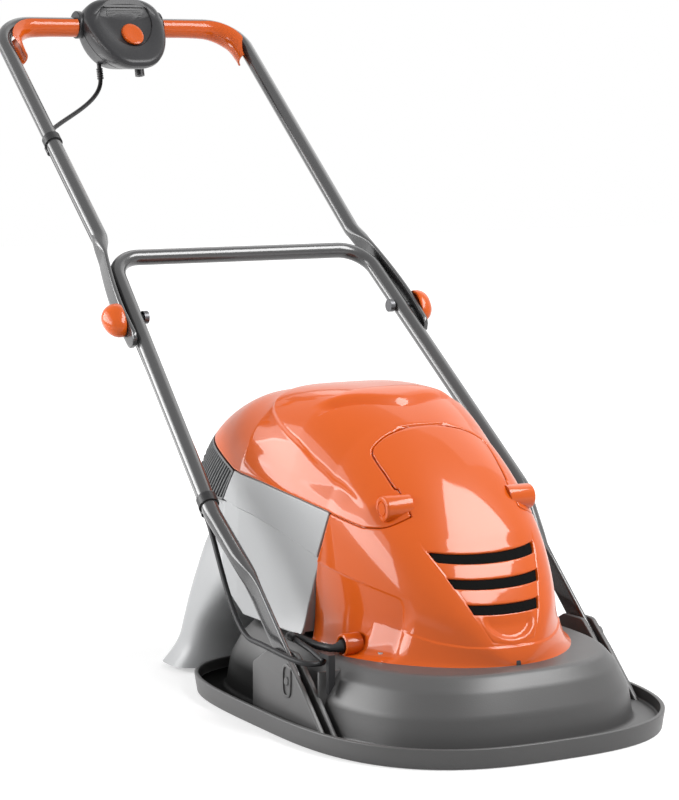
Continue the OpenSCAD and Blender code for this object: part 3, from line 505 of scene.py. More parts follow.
def flank_x(y, z):
    up = (z - DECK_TOP) / np.maximum(side_top(y) - DECK_TOP, 1e-6)
    return plan_half(y) * bow(up, arch_power(y)) * waist(y, up)


def body_sheet():
    """Points, normals and triangles of the body's form, from side to side over the top."""
    nose = np.radians(np.linspace(89.3, 0, 84))
    rear_half = np.linspace(148, 1.0, 58)
    rear = (1 - (rear_half / BODY_HALF) ** BODY_REAR_POWER) ** (1 / BODY_REAR_POWER)
    along = np.concatenate([WIDEST_Y - (WIDEST_Y + BODY_FRONT) * np.sin(nose), np.arange(42.4, 318, 2.4),
                            WIDEST_Y + (BODY_REAR - WIDEST_Y) * rear])
    y, a = np.meshgrid(along, np.radians(np.linspace(0, 180, 221)), indexing="ij")
    power = 2 / arch_power(y)
    up = np.sin(a) ** power
    x = plan_half(y) * signed_power(np.cos(a), power) * waist(y, up)
    p = np.stack([x, y, DECK_TOP + (side_top(y) - DECK_TOP) * up], -1)
    normals = unit(np.cross(np.gradient(p, axis=0), np.gradient(p, axis=1)))
    i = np.arange(y.size).reshape(y.shape)
    a, b, c, d = i[:-1, :-1], i[1:, :-1], i[1:, 1:], i[:-1, 1:]
    triangles = [np.stack(three, -1).reshape(-1, 3) for three in ((a, b, c), (a, c, d))]
    return p.reshape(-1, 3), normals.reshape(-1, 3), np.concatenate(triangles)


def split(sheet, field, keep=True):
    """Cuts the sheet's triangles along field = 0; keep drops the negative side."""
    points, normals, triangles = sheet
    value = field(points)
    value = np.where(np.abs(value) < 1e-5, 1e-5, value)
    inside = value > 0
    count = inside[triangles].sum(1)
    out = [triangles[count == 3]]
    if not keep:
        out.append(triangles[count == 0])
    crossed = triangles[(count == 1) | (count == 2)]
    if len(crossed):
        side = inside[crossed]
        lone = np.where(side.sum(1) == 1, side.argmax(1), (~side).argmax(1))
        row = np.arange(len(crossed))
        a, b, c = (crossed[row, (lone + k) % 3] for k in range(3))
        pairs = np.sort(np.concatenate([np.stack([a, b], 1), np.stack([a, c], 1)]), 1)
        edges, which = np.unique(pairs, axis=0, return_inverse=True)
        which = which.reshape(-1) + len(points)
        start, end = edges.T
        share = (value[start] / (value[start] - value[end]))[:, None]
        points = np.concatenate([points, points[start] * (1 - share) + points[end] * share])
        normals = np.concatenate([normals, unit(normals[start] * (1 - share) + normals[end] * share)])
        p, q = which[:len(crossed)], which[len(crossed):]
        tip = np.stack([a, p, q], 1)
        rest = np.concatenate([np.stack([p, b, c], 1), np.stack([p, c, q], 1)])
        if keep:
            up = inside[a]
            tip, rest = tip[up], rest[np.concatenate([~up, ~up])]
        out += [tip, rest]
    used, triangles = np.unique(np.concatenate(out), return_inverse=True)
    return points[used], normals[used], triangles.reshape(-1, 3)


def rows(sheet, field, levels):
    """Adds rows of points where the field has these levels."""
    for level in levels:
        sheet = split(sheet, lambda p, level=level: field(p) - level, keep=False)
    return sheet


def cut_piece(sheet, field, levels=(0.25, 0.6, 1.1, 1.7)):
    """Keeps field > 0 and adds rows of points beside the cut for its rounded edge."""
    return rows(split(sheet, field), field, levels)


def edge_round(distance, r=1.7):
    """Depth that rounds an edge, from the distance to it."""
    g = np.clip(r - distance, 0, r)
    return r - np.sqrt(np.maximum(r * r - g * g, 0))


def shell(points, normals, triangles, thick):
    """Closed shell: the sheet, its inner copy and a rim."""
    size = len(points)
    edges = np.concatenate([triangles[:, [0, 1]], triangles[:, [1, 2]], triangles[:, [2, 0]]])
    _, which, count = np.unique(np.sort(edges, 1), axis=0, return_inverse=True, return_counts=True)
    a, b = edges[count[which.reshape(-1)] == 1].T
    rim = np.stack([b, a, a + size, b + size], 1)
    faces = [*triangles.tolist(), *(triangles[:, ::-1] + size).tolist(), *rim.tolist()]
    return np.concatenate([points, points - normals * thick]), faces


def sunk_shell(sheet, depth, thick=WALL):
    """Shell of the sheet, let in by a depth along its normals."""
    points, normals, triangles = sheet
    return shell(points - normals * np.reshape(depth, (-1, 1)), normals, triangles, thick)


# Outlines of the pieces in the side view (y, z)
LID_OUTLINE = [(31, 420), (31, 320), (27.5, 316), (23.5, 307), (20, 299.5), (14.5, 293.5), (-12, 275),
               (-36, 256.5), (-42, 242), (-42, 222), (-25, 220.5), (32, 229), (90, 239), (159, 249), (218, 256),
               (258, 268), (295, 278), (365, 302), (365, 420)]
COVER_OUTLINE = [(-200, 60), (57, 60), (53, 84), (52, 96), (53.5, 123), (51, 152), (45, 178), (32, 229),
                 (31, 330), (31, 420), (-200, 420)]
BOX_OUTLINE = [(20, 92), (186, 90), (250, 126), (252.6, 164), (365, 164), (365, 420), (20, 420)]
FIN_OUTLINE = [(236, 217), (214, 258), (220, 300), (365, 340), (365, 215), (300, 215)]
SIDE_SCOOP = chaikin([(70, 176), (43, 173), (-8, 167), (-50, 160), (-80, 154), (-88, 151), (-93, 138),
                      (-94, 60), (70, 60)], 2)
ridge_z = table([(-94, 151), (-50, 160), (-8, 167), (43, 173), (70, 176)])
skirt_z = table([(-180, 102), (-161, 103), (-151, 103.5), (-129, 107), (-91, 117), (-55, 124), (-34, 93),
                 (70, 92)])
band_z = table([(20, 171), (45, 178), (114, 198), (172, 211), (237, 220), (360, 232)])

# Outlines on the front (x, z) and on the top (x, y)
SLOT_H = 10
VENTS = [[(-high, top), (high, top), (low, top - SLOT_H), (-low, top - SLOT_H)]
         for high, low, top in ((68, 63, 200.5), (58, 53.5, 175.5), (45, 41, 150.5))]
PANEL = both_sides([(75, 214), (72, 203), (33, 117), (28, 108), (0, 103)])
HUMP = chaikin(both_sides([(0, -95), (70, -78), (98, -40), (103, -5), (104, 8), (108, 42), (116, 91),
                           (116, 146), (109, 182), (100, 197), (88, 206), (70, 211), (35, 214)]))


# Fields over the body: the distance to an outline or line, positive inside or above it
def lid_field(p):
    lobe = LOBE_R - np.hypot(p[:, 1] - HINGE[0], p[:, 2] - HINGE[1])
    lobe = np.minimum(lobe, np.abs(p[:, 0]) - 70)
    return np.maximum(side_distance(p, LID_OUTLINE), lobe)


def cover_field(p):
    return np.minimum(side_distance(p, COVER_OUTLINE), -lid_field(p) - 0.7)


def fin_field(p):
    return np.minimum(side_distance(p, FIN_OUTLINE), -lid_field(p) - 1.0)


def box_field(p):
    gap = 0.8
    cover_gap = gap + 1.4 * smooth(172, 184, p[:, 2])
    return np.minimum.reduce([side_distance(p, BOX_OUTLINE), -lid_field(p) - gap,
                              -side_distance(p, COVER_OUTLINE) - cover_gap,
                              -side_distance(p, FIN_OUTLINE) - gap])


def vent_field(p):
    """Positive outside the vent slots, which sag towards the middle."""
    z = p[:, 2] + 4.0 * (1 - (p[:, 0] / 64) ** 2)
    inside = np.maximum.reduce([outline_distance(p[:, 0], z, slot) for slot in VENTS])
    return np.where(p[:, 1] < FACE_Y, -inside, AWAY)


def panel_field(p):
    return np.where(p[:, 1] < FACE_Y, outline_distance(p[:, 0], p[:, 2], PANEL), -AWAY)


def thumb_field(p):
    """Scoop under the lowest slot."""
    half, height = 34, 24
    r = np.hypot(p[:, 0] / half, (p[:, 2] - 133) / height)
    return np.where(p[:, 1] < FACE_Y, (1 - r) * height, -AWAY)


def hump_field(p):
    return outline_distance(p[:, 0], p[:, 1], HUMP)


def grip_field(p):
    return p[:, 1] - 62 - 30 * (np.abs(p[:, 0]) / 80) ** 1.5


def scoop_field(p):
    return side_distance(p, SIDE_SCOOP)


def skirt_field(p):
    return p[:, 2] - skirt_z(p[:, 1])


def band_field(p):
    return p[:, 2] - band_z(p[:, 1])


SHEET = body_sheet()


def seam_flange(outline, reach):
    """Ledge under the lid's edge, so that the seam has a floor."""
    ledge = split(SHEET, lambda p: np.minimum.reduce([lid_field(p) + 7, 6 - lid_field(p),
                                                      side_distance(p, outline) + reach, p[:, 1] + 24]))
    return sunk_shell(ledge, 3.4, 1.2)


def hinge_turned(profile):
    """A turned shape on the lid's hinge line, on both sides."""
    return Parts().add(*lathe_x(profile, *HINGE)).mirrored().out()


# Motor cover
cover = cut_piece(SHEET, cover_field)
cover = cut_piece(cover, vent_field, (0.3, 0.8, 1.4))
cover = rows(cover, panel_field, (0.0, 0.7, 1.5, 2.4))
cover = rows(cover, thumb_field, (0.0, 1.0, 2.2, 4.0, 7.0))
cover = rows(cover, scoop_field, (0.0, 1.0, 2.2, 3.4))
cover = rows(cover, skirt_field, (0.0, 1.2, 2.4))
at = cover[0]
_, y, z = at.T
skirt, panel = skirt_field(at), panel_field(at)
depth = edge_round(cover_field(at)) + edge_round(vent_field(at), 1.4)
depth += 0.8 * smooth(0, 2.2, scoop_field(at)) * smooth(100, 130, z)
under_ridge = np.maximum(ridge_z(y) - np.maximum(z, skirt_z(y)), 0)
depth += 0.25 * under_ridge * smooth(84.5, 94, z) * smooth(-106, -86, y)
above_skirt = smooth(0, 2.4, skirt) * (1 - smooth(8, 32, skirt))
depth += 1.3 * above_skirt * smooth(-84, -100, y) * (1 - smooth(0, 4, panel))
depth += (0.7 + 0.2 * smooth(168, 112, z)) * smooth(0, 2.4, panel) * smooth(214, 199, z)
depth += 3.6 * smooth(0, 7, thumb_field(at)) * smooth(138, 124, z)
shape = Parts().add(*sunk_shell(cover, depth))
shape.add(*hinge_turned([(39, 10.8), (60.5, 10.8), (61, 10.2)]))
shape.add(*seam_flange(COVER_OUTLINE, 1.5))
piece("cover_shell", *shape.out(), ORANGE, "deck", "orange_plastic", ["motor_cover"])

# Lid
lid = cut_piece(SHEET, lid_field)
lid = rows(lid, hump_field, (-9.0, -5.0, -2.5, -1.0, 0.0))
lid = rows(lid, grip_field, (-1.4, -0.9, -0.4, 0.0, 2.0, 5.0))
at = lid[0]
x, y, _ = at.T
off_hump, grip = -hump_field(at), grip_field(at)
depth = edge_round(lid_field(at))
beside_hump = smooth(0, 5, off_hump) * (1 - smooth(12, 60, off_hump))
depth += 4.2 * beside_hump * smooth(-30, 14, y) * smooth(1, 30, lid_field(at))
depth += 7.5 * smooth(-1.4, 0, grip) * (1 - smooth(3, 24, grip)) * (1 - smooth(76, 98, np.abs(x)))
shape = Parts().add(*sunk_shell(lid, depth))
shape.add(*hinge_turned([(62.4, 13.0), (63.2, 14.2), (93.6, 14.2), (95.0, 13.8), (95.8, 12.9), (96.0, 11.8),
                         (96.0, 8.8), (95.2, 8.5), (95.2, 7.7), (96.1, 7.2), (96.1, 1.0)]))
piece("lid_shell", *shape.out(), ORANGE, "lid", "orange_plastic", ["lid"])


# Grass box
def cross_walls(line, inset, open_at):
    """Walls across the body along a side view line; the one at open_at has an open middle."""
    p = np.array(line, float)
    half = np.maximum(flank_x(p[:, 0], p[:, 1]) - inset - 20 * smooth(236, 276, p[:, 0]), 1)
    for i in range(len(p) - 1):
        for a, b in ((-1, -0.8), (0.8, 1)) if i == open_at else ((-1, 1),):
            yield [(a * half[i], *p[i]), (b * half[i], *p[i]),
                   (b * half[i + 1], *p[i + 1]), (a * half[i + 1], *p[i + 1])]


box = cut_piece(SHEET, box_field)
box = rows(box, band_field, (-3.0, -2.0, -1.0, 0.0))
at = box[0]
_, y, z = at.T
depth = edge_round(box_field(at), 1.4) + 5.0 * smooth(0, 3, -band_field(at))
depth += 18.0 * smooth(216, 209, z) * smooth(236, 276, y)
shape = Parts().add(*sunk_shell(box, depth))
BOX_WALLS = [(35, 226), (48, 178), (54, 152), (56, 123), (55, 92.5), (186, 90.5), (249, 126.5), (252, 164.5),
             (262, 165), (330, 165), (337, 165)]
for wall in cross_walls(BOX_WALLS, 7, 8):
    shape.add(wall, [[0, 1, 2, 3]])
shape.add(*seam_flange([(38, 180), (38, 420), (212, 420), (212, 180)], 0))
piece("box_shell", *shape.out(), GREY, "deck", "grey_plastic", ["grass_box"])

# Air outlet: a sunk back and slanted fins that follow the body
FIN_DEPTH = 7.0
FIN_STEP = 6.6
FIN_COUNT = 42
(fin_y, fin_z), (lean_y, lean_z) = FIN_OUTLINE[:2]
lean_y, lean_z = lean_y - fin_y, lean_z - fin_z


def fin_strip(p, i):
    """Positive within fin number i."""
    run = p[:, 1] + np.maximum(150 - np.abs(p[:, 0]), 0)
    off = ((run - fin_y) * lean_z - (p[:, 2] - fin_z) * lean_y) / math.hypot(lean_y, lean_z)
    return np.minimum(1.5 - np.abs(off - 2.2 - FIN_STEP * i), fin_field(p) - 0.7)


outlet = cut_piece(SHEET, lambda p: fin_field(p) - 0.6)
shape = Parts().add(*sunk_shell(outlet, FIN_DEPTH, 1.6))
for i in range(FIN_COUNT):
    def strip(p, i=i):
        return fin_strip(p, i)
    fin = split(outlet, strip)
    if len(fin[2]):
        fin = rows(fin, strip, (0.5,))
        shape.add(*sunk_shell(fin, edge_round(strip(fin[0]), 0.9), FIN_DEPTH))
shape.add(*shell(*split(outlet, lambda p: 3.0 - fin_field(p)), FIN_DEPTH))
piece("outlet_fins", *shape.out(), FIN, "deck", "dark_plastic", ["outlet_grille"])


# Hood
def deck_plan(angles, inset):
    """Points of the hood's plan, squarer behind than ahead."""
    across, along = np.cos(angles), np.sin(angles)
    reach = np.where(along < 0, DECK_FRONT, DECK_REAR) - inset
    power = 2 / np.where(along < 0, DECK_FRONT_POWER, DECK_REAR_POWER)
    x = (DECK_HALF - inset) * signed_power(across, power)
    return np.stack([x, reach * signed_power(along, power)], 1)


def even_angles(count, inset=20):
    """Angles at which the points lie evenly along the plan's edge."""
    angles = np.linspace(0, 2 * math.pi, 6001)
    run = path_run(deck_plan(angles, inset))
    return np.interp(np.linspace(0, run[-1], count + 1)[:-1], run, angles)


RING = even_angles(320)


def deck_ring(inset, z):
    return np.insert(deck_plan(RING, inset), 2, z, axis=1)


def duct_opening(p):
    """Positive outside the opening in the hood's rear wall."""
    inside = np.minimum.reduce([90 - np.abs(p[:, 0]), p[:, 2] - 13, 73 - p[:, 2]])
    return np.where(p[:, 1] > 140, -inside, AWAY)


def plan_share(x, y):
    """How far out a point lies in the hood's plan: 1 at the edge."""
    reach, power = (DECK_REAR, DECK_REAR_POWER) if y > 0 else (DECK_FRONT, DECK_FRONT_POWER)
    return ((abs(x) / DECK_HALF) ** power + (abs(y) / reach) ** power) ** (1 / power)


HUB_R = 46
outside = fillet([(36, 0.3), (3, 0), (0, 22), (5, 22), (5, 9), (32, 9), (37, 44), (49, 69), (62, DECK_TOP),
                  (75, DECK_TOP)], [0, 1.5, 1.6, 1.6, 2.5, 6, 26, 22, 12, 0], 8)
inside = fillet([(75, 81), (65, 81), (52, 66), (40.5, 42), (36, 0.3)], [0, 8, 14, 16, 0], 6)
hub = np.stack([HUB_R * np.cos(RING), -40 + HUB_R * np.sin(RING), np.full(len(RING), float(DECK_TOP))], 1)
rings = [deck_ring(*q) for q in outside] + [hub, hub - [0, 0, 3.0]] + [deck_ring(*q) for q in inside]
points, faces = rings_mesh(rings, caps=False)
triangles = np.array([three for a, b, c, d in faces for three in ([a, b, c], [a, c, d])])
wall = split((points, np.zeros_like(points), triangles), duct_opening)
shape = Parts().add(wall[0], wall[2].tolist())

# Handle towers, each two plates with a slot frame, a pin end and two ribs
TOWER = fillet([(57, 8), (57, 66), (18, 88), (-19, 88), (-53, 60), (-109, 8)], [0, 6, 14, 14, 12, 0], 6)
SLOT_RIM = chaikin([(-33, 42), (-17, 42), (-15, 60), (-16, 79), (-34, 79), (-35, 60)])
SLOT_FLOOR = chaikin([(-30.5, 45), (-19.5, 45), (-18, 60), (-19, 76), (-31, 76), (-32, 60)])
SLOT_EDGE = SLOT_FLOOR * 0.4 + SLOT_RIM * 0.6
tower = Parts()
for start, end in ((184.5, 190.5), (197.5, 203.5)):
    tower.add(*prism_x(TOWER, start, end, 1.4))
slot_rings = ((SLOT_RIM, 203.0), (SLOT_RIM, 205.0), (SLOT_EDGE, 205.6), (SLOT_FLOOR, 205.5),
              (SLOT_FLOOR, 203.9))
tower.add(*rings_mesh([np.insert(ring, 0, x, axis=1) for ring, x in slot_rings]))
tower.add(*lathe_x([(203.0, 4.6), (205.2, 4.6), (205.7, 4.0), (205.7, 0.5)], *PIVOT, 24))
for y, top in ((40, 70), (-62, 44)):
    tower.add(*prism_x([(y - 2, 9), (y + 2, 9), (y + 2, top), (y - 2, top)], 166, 186, 0.6, 2))
shape.add(*tower.mirrored().out())
shape.add(*prism_x([(-66, 30), (-62, 30), (-62, 76), (-66, 76)], -187, -160, 0.6, 2))
pins = Parts().add(*lathe_x([(183.4, 9.5), (184.4, 9.5), (184.4, 6), (203.2, 6)], *PIVOT, 32)).mirrored()
piece("pivot_pins", *pins.out(), BOLT, "deck", "steel", ["pivot_bolts"], outward=True)
hood = piece("hood_shell", *shape.out(), HOOD, "deck", "dark_plastic", ["hood"])
# Gutter faces take the finish with painted shade
hood.data.materials.append(HOOD_PAINTED_SHADE)
for face in hood.data.polygons:
    x, y, z = face.center / MM
    if z < 75 and 0.72 < plan_share(x, y) < 0.978:
        face.material_index = 1

# Rear duct, as half width, front, rear and height from the ground up
DUCT = [(177, 285, 373, 5.5), (171, 285, 369, 14), (164, 285, 361, 26), (159.5, 284, 354, 40),
        (156, 276, 352, 62), (152.5, 254, 351.5, 86), (147.5, 232, 351, 110), (141, 224, 348, 134),
        (134, 240, 344, 152), (127, 253, 342, 163.5)]
DUCT_POINTS = 160


def duct_ring(half, front, rear, z, inset=0.0):
    a = turn(DUCT_POINTS)
    y = (front + rear) / 2 + ((rear - front) / 2 - inset) * signed_power(np.sin(a), 0.5)
    return np.stack([(half - inset) * signed_power(np.cos(a), 0.5), y, np.full(DUCT_POINTS, z)], 1)


heights = np.linspace(DUCT[0][3], DUCT[-1][3], 46)
columns = [np.interp(heights, [q[3] for q in DUCT], [q[i] for q in DUCT]) for i in range(3)]
for _ in range(4):
    for column in columns:
        column[1:-1] = (column[:-2] + 2 * column[1:-1] + column[2:]) / 4
levels = list(zip(*columns, heights))
outer = [duct_ring(*level) for level in levels]
inner = [duct_ring(*level, WALL) for level in levels]
shape = Parts().add(*rings_mesh([*outer, *inner[::-1]], caps=False))
shape.add(duct_ring(*levels[0][:3], 6.2, 1.0), [list(range(DUCT_POINTS))])
piece("duct_shell", *shape.out(), GREY, "deck", "grey_plastic", ["rear_duct"])


# Handles
def tilted(p, angle, y, z):
    """Points turned about X and set at a place (y, z)."""
    p = np.asarray(p, float).reshape(-1, 3)
    c, s = math.cos(angle), math.sin(angle)
    return np.stack([p[:, 0], y + p[:, 1] * c - p[:, 2] * s, z + p[:, 1] * s + p[:, 2] * c], 1)


def in_handle(p):
    """From the handle's frame: across, up along the handle from the knobs, out of its plane."""
    return tilted(p, TILT, KNOB_Y, KNOB_Z)


def in_box(p):
    """From the switch box's frame, which stands on the grip."""
    return tilted(p, -LEAN, GRIP_Y, GRIP_Z)


def handle_tube(name, path, flat_end, node):
    """Half of a tube that runs out into a flat round end, and its mirror image."""
    path, run = resample(path, 3.0)
    left = run[-1] - run
    flat = 1 - smooth(flat_end, 190, left)
    past = np.clip(FLAT_R - left, 0, FLAT_R)
    half_v = np.minimum(TUBE_R + 2.5 * flat, np.sqrt(np.maximum(FLAT_R ** 2 - past ** 2, 0.04)))
    first = np.cross(unit(path[1] - path[0]), (0, -math.sin(TILT), math.cos(TILT)))
    tube = Parts().add(*sweep(path, TUBE_R - 7 * flat, half_v, 2 + 3 * flat, first))
    piece(name, *tube.mirrored().out(), TUBE, node, "tube_paint", [node])


def handle_bend(x, up, r, end, count):
    """A corner of the handle from its crossbar to its leg."""
    a = np.linspace(math.pi / 2, end, count)
    return np.stack([x + r * np.cos(a), up - r + r * np.sin(a), np.zeros(count)], 1)


corner = in_handle(handle_bend(LOWER_BEND_X, LOWER_UP, LOWER_BEND_R, SPLAY, 16))
foot = in_handle([LOWER_HALF + LEG_L * math.tan(SPLAY), -LEG_L, 0])[0]
leg_end = np.array([LEG_END_X, *PIVOT])
leg = fillet([corner[-1], foot, (LEG_END_X, 80, 154), leg_end], [0, 60, 30, 0], 12)
tip = leg_end + unit(np.array([0, -105.0, -94.0])) * 12.4
path = np.concatenate([in_handle([0, LOWER_UP, 0]), corner, leg[1:], [tip]])
handle_tube("lower_tube", path, 128, "lower_handle")

bend_x, bend_up = GRIP_HALF - GRIP_BEND_R, GRIP_UP - GRIP_BEND_R
corner = handle_bend(bend_x, GRIP_UP, GRIP_BEND_R, 0, 20)
ups = np.linspace(bend_up, -46.4, 190)[1:]
leg = np.stack([GRIP_HALF + 22.77 * (1 - np.clip(ups / 146, 0, 1) ** 1.6), ups, np.zeros(len(ups))], 1)
handle_tube("upper_tube", in_handle(np.concatenate([[[0, GRIP_UP, 0]], corner, leg])), 150, "upper_handle")

# Clamp knobs: a round grip that runs out into a point, as x and inset from its outline
KNOB_R = 18.4
KNOB_POINT = 9.0
KNOB_PROFILE = [(221, 9.0), (216, 5.0), (207.2, 3.4), (206.6, 3.0), (206.6, 0.6), (208, 0.0), (213, 0.1),
                (217.5, 1.2), (221.5, 3.4), (224.6, 6.4), (226.8, 9.8), (228.0, 13.6), (228.3, 15.8)]
a = turn(72)
point = KNOB_POINT * np.maximum(0, np.cos((a - math.pi) / 2)) ** 16
knob = []
for x, inset in KNOB_PROFILE:
    r = np.maximum(KNOB_R + point - inset * (1.1 + 0.35 * point / KNOB_POINT), 0.4)
    knob.append(in_handle(np.stack([np.full(len(a), x), r * np.cos(a), r * np.sin(a)], 1)))
points, faces = rings_mesh(knob)
for side, sign in (("right", 1), ("left", -1)):
    piece("knob_grip_" + side, points * [sign, 1, 1], faces, ORANGE, "knob_" + side, "orange_plastic",
          ["knob_" + side], outward=True)


# Switch box
def in_pod(p):
    """Box frame with the front of the lower half carried forward and down."""
    p = np.array(p, float).reshape(-1, 3)
    front = smooth(23, -20, p[:, 1])
    p[:, 0] *= 0.91 + 0.09 * front
    ahead = front * (6 + 0.52 * np.maximum(0, 6 - p[:, 2]))
    p[:, 2] = np.where(p[:, 2] < 0, p[:, 2] * (0.9 + 0.1 * front), p[:, 2]) - 0.28 * np.maximum(ahead - 6, 0)
    p[:, 1] -= ahead
    return in_box(p)


def pod_ring(inset, depth, half, high, middle, powers, taper):
    """A ring of the box: a rounded square that narrows downwards by taper's share, start and length."""
    a = turn(144)
    x = (half - inset) * signed_power(np.cos(a), 2 / powers[0])
    z = middle + (high - inset) * signed_power(np.sin(a), 2 / powers[1])
    share, start, length = taper
    low = np.clip((start - z) / length, 0, 1)
    return in_pod(np.stack([x * (1 - share * low ** 1.5), np.full(len(a), depth), z], 1))


SHELL_FORM = (61, 50, -16, (3.1, 2.7), (0.36, 4, 70))
PANEL_FORM = (39, 33, -4, (3.0, 2.6), (0.42, 2, 38))
SHELL_PROFILE = [(12, 22.9), (6.5, 21.8), (3.2, 19.5), (1.2, 16), (0.2, 11), (0, 0.7), (0.6, 0.5),
                 (0.6, -0.5), (0, -0.7), (0.2, -9), (1.2, -14), (3.2, -18), (6.5, -21.2), (9.5, -22.7),
                 (12, -23)]
PANEL_PROFILE = [(0, -23.2), (0.8, -22.8), (1.6, -20.6), (2.4, -20.2), (16, -20.4), (28, -20.6)]
COLLAR = [(46, 15), (50, 17.5), (57, 18.8), (61.5, 18.8), (62.6, 17.8), (62.8, 10.3)]
rings = [pod_ring(*q, *SHELL_FORM) for q in SHELL_PROFILE]
rings += [pod_ring(*q, *PANEL_FORM) for q in PANEL_PROFILE]
shape = Parts().add(*rings_mesh(rings[::-1]))
for sign in (1, -1):
    shape.add(*lathe_x([(sign * x, r) for x, r in COLLAR], GRIP_Y, GRIP_Z))
piece("switch_shell", *shape.out(), POD, "upper_handle", "dark_plastic",
      ["switch_front", "switch_rear", "switch_screws"], outward=True)

# Lock button, as radius and depth
BUTTON = [(15.0, -20.0), (15.0, -24.2), (14.2, -25.6), (12.4, -26.4), (9.0, -26.0), (5.0, -25.4),
          (1.0, -25.2)]
a = turn(96)
rings = [in_pod(np.stack([2 + r * np.cos(a), np.full(len(a), depth), -20 + r * 0.95 * np.sin(a)], 1))
         for r, depth in BUTTON]
piece("lock_cap", *rings_mesh(rings), ORANGE, "lock_button", "orange_plastic", ["lock_button"], outward=True)

# Switch levers
LEVER_WALL = 2.6
ARC_POINTS = 37


def lever(sign):
    """A curved half shell round the grip, from beside the box round the bend to its tail."""
    line = [((x, GRIP_UP), (0.0, 1.0)) for x in np.linspace(64, 129, 22)]
    for angle in np.radians(np.linspace(90, 0, 34)):
        out = np.array([math.cos(angle), math.sin(angle)])
        line.append((np.array([bend_x, bend_up]) + GRIP_BEND_R * out, out))
    line += [((GRIP_HALF, up), (1.0, 0.0)) for up in np.linspace(526, 503, 9)]
    last = len(line) - 1
    rings = []
    for i, (at, out) in enumerate(line):
        bend, tip = float(smooth(10, 42, i)), float(smooth(last - 13, last, i))
        low, high = np.radians([98 - 4 * bend + 40 * tip, 262 + 4 * bend - 40 * tip])
        off, r = -4.0 - 3.4 * bend, 14.2 + 2.6 * bend - 1.5 * tip
        section = [(r * math.cos(q), r * math.sin(q)) for q in np.linspace(low, high, ARC_POINTS)]
        r -= LEVER_WALL
        section += [(r * math.cos(q), r * math.sin(q)) for q in np.linspace(high, low, ARC_POINTS)]
        section = [(c + off, h) for c, h in section]
        rings.append(in_handle([(at[0] + c * out[0], at[1] + c * out[1], h) for c, h in section]))
    points, faces = rings_mesh(rings, caps=False)
    size = 2 * ARC_POINTS
    for k in range(ARC_POINTS - 1):
        end = [k, size - 1 - k, size - 2 - k, k + 1]
        faces.append(end[::-1])
        faces.append([last * size + i for i in end])
    return points * [sign, 1, 1], faces


for side, sign in (("right", 1), ("left", -1)):
    piece("lever_grip_" + side, *lever(sign), ORANGE, "levers", "orange_plastic", ["lever_" + side],
          outward=True)
rod_at = in_handle([0, GRIP_UP, 20])[0][1:]
piece("lever_rod", *lathe_x([(-48, 3.0), (48, 3.0)], *rod_at, 24), STEEL, "levers", "steel", ["lever_shaft"])


# Lead, along a given route
def under_upper(up):
    return in_handle([-GRIP_HALF, up, -15])[0]


def under_leg(up):
    return in_handle([-LOWER_HALF + up * math.tan(SPLAY), up, -15])[0]


def lead_piece(name, path, body, stands_for):
    path, _ = resample(path, 3.0)
    tube = round_sweep(path, np.full(len(path), LEAD_R), (0.2, 0.9, 0.3), 20)
    return piece(name, *tube, LEAD, body, "lead_sheath", [stands_for], outward=True)


exit_bend = bezier(in_box([-30, 8, -72])[0], in_box([-30, 8, -117])[0], under_upper(384), under_upper(344))
lead_piece("lead_top", np.concatenate([in_box([-30, 8, -50]), exit_bend, [under_upper(160)]]), "upper_handle",
           "lead_upper")
lead_piece("lead_leg", [under_leg(-90), under_leg(-314)], "lower_handle", "lead_lower")
span = [under_upper(160), under_upper(150), under_leg(-80), under_leg(-90)]
ob = lead_piece("lead_span", span, None, "lead_cross")
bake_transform(ob)

hook = np.array([-184.0, -64, 85])
middle = (-211, 42, 93)
down = bezier(under_leg(-314), under_leg(-354), (-211, 92, 93), middle, 30)
forward = bezier(middle, (-211, -8, 93), (-212, -64, 85), hook - [6, 0, 0], 30)
ob = lead_piece("lead_bow", np.concatenate([down, forward[1:], [hook - [0.6, 0, 0]]]), None, "lead_loop")
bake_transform(ob)

# Last stretch: a slack loop from the hook to the inlet, with a ribbed sleeve
SLACK = [(-177, 22, 99), (-166, 22, 96), (-157, -8, 91), (-150, -30, 91)]
SLACK_RADII = [9, 9, 20, 12]
tail = fillet([hook, (-179, -64, 86), (-178, -30, 93), *SLACK, (-134, *INLET)],
              [0, 8, 30, *SLACK_RADII, 0], 9)
lead_piece("lead_end", tail, "deck", "lead_tail")
sleeve, run = resample(fillet([(-177, 6, 98), *SLACK, (-133, *INLET)], [0, *SLACK_RADII, 0], 9), 1.5)
sleeve_r = 4.3 + 0.35 * (np.sin(run * 1.6) > 0.2) + 3.2 * smooth(run[-1] - 16, run[-1] - 6, run)
boot = round_sweep(sleeve, sleeve_r, (0.2, 0.1, 0.9), 28)
piece("lead_boot", *boot, BLACK, "deck", "black_plastic", outward=True)
INLET_RIM = [(-120, 12.8), (-138.5, 12.8), (-140.4, 12.2), (-141, 10.9), (-140.4, 9.5), (-138.5, 8.8),
             (-130, 8.6)]
rim = lathe_x(INLET_RIM, *INLET, 48)
piece("inlet_rim", *rim, ORANGE, "deck", "orange_plastic", ["lead_grommet"], outward=True)
tab = prism_x([(-172.5, 79), (-166, 79), (-164, 92), (-168.5, 91)], -3.5, 2.5, 0.6, 2)
piece("cover_tab", *tab, BLACK, "deck", "black_plastic")


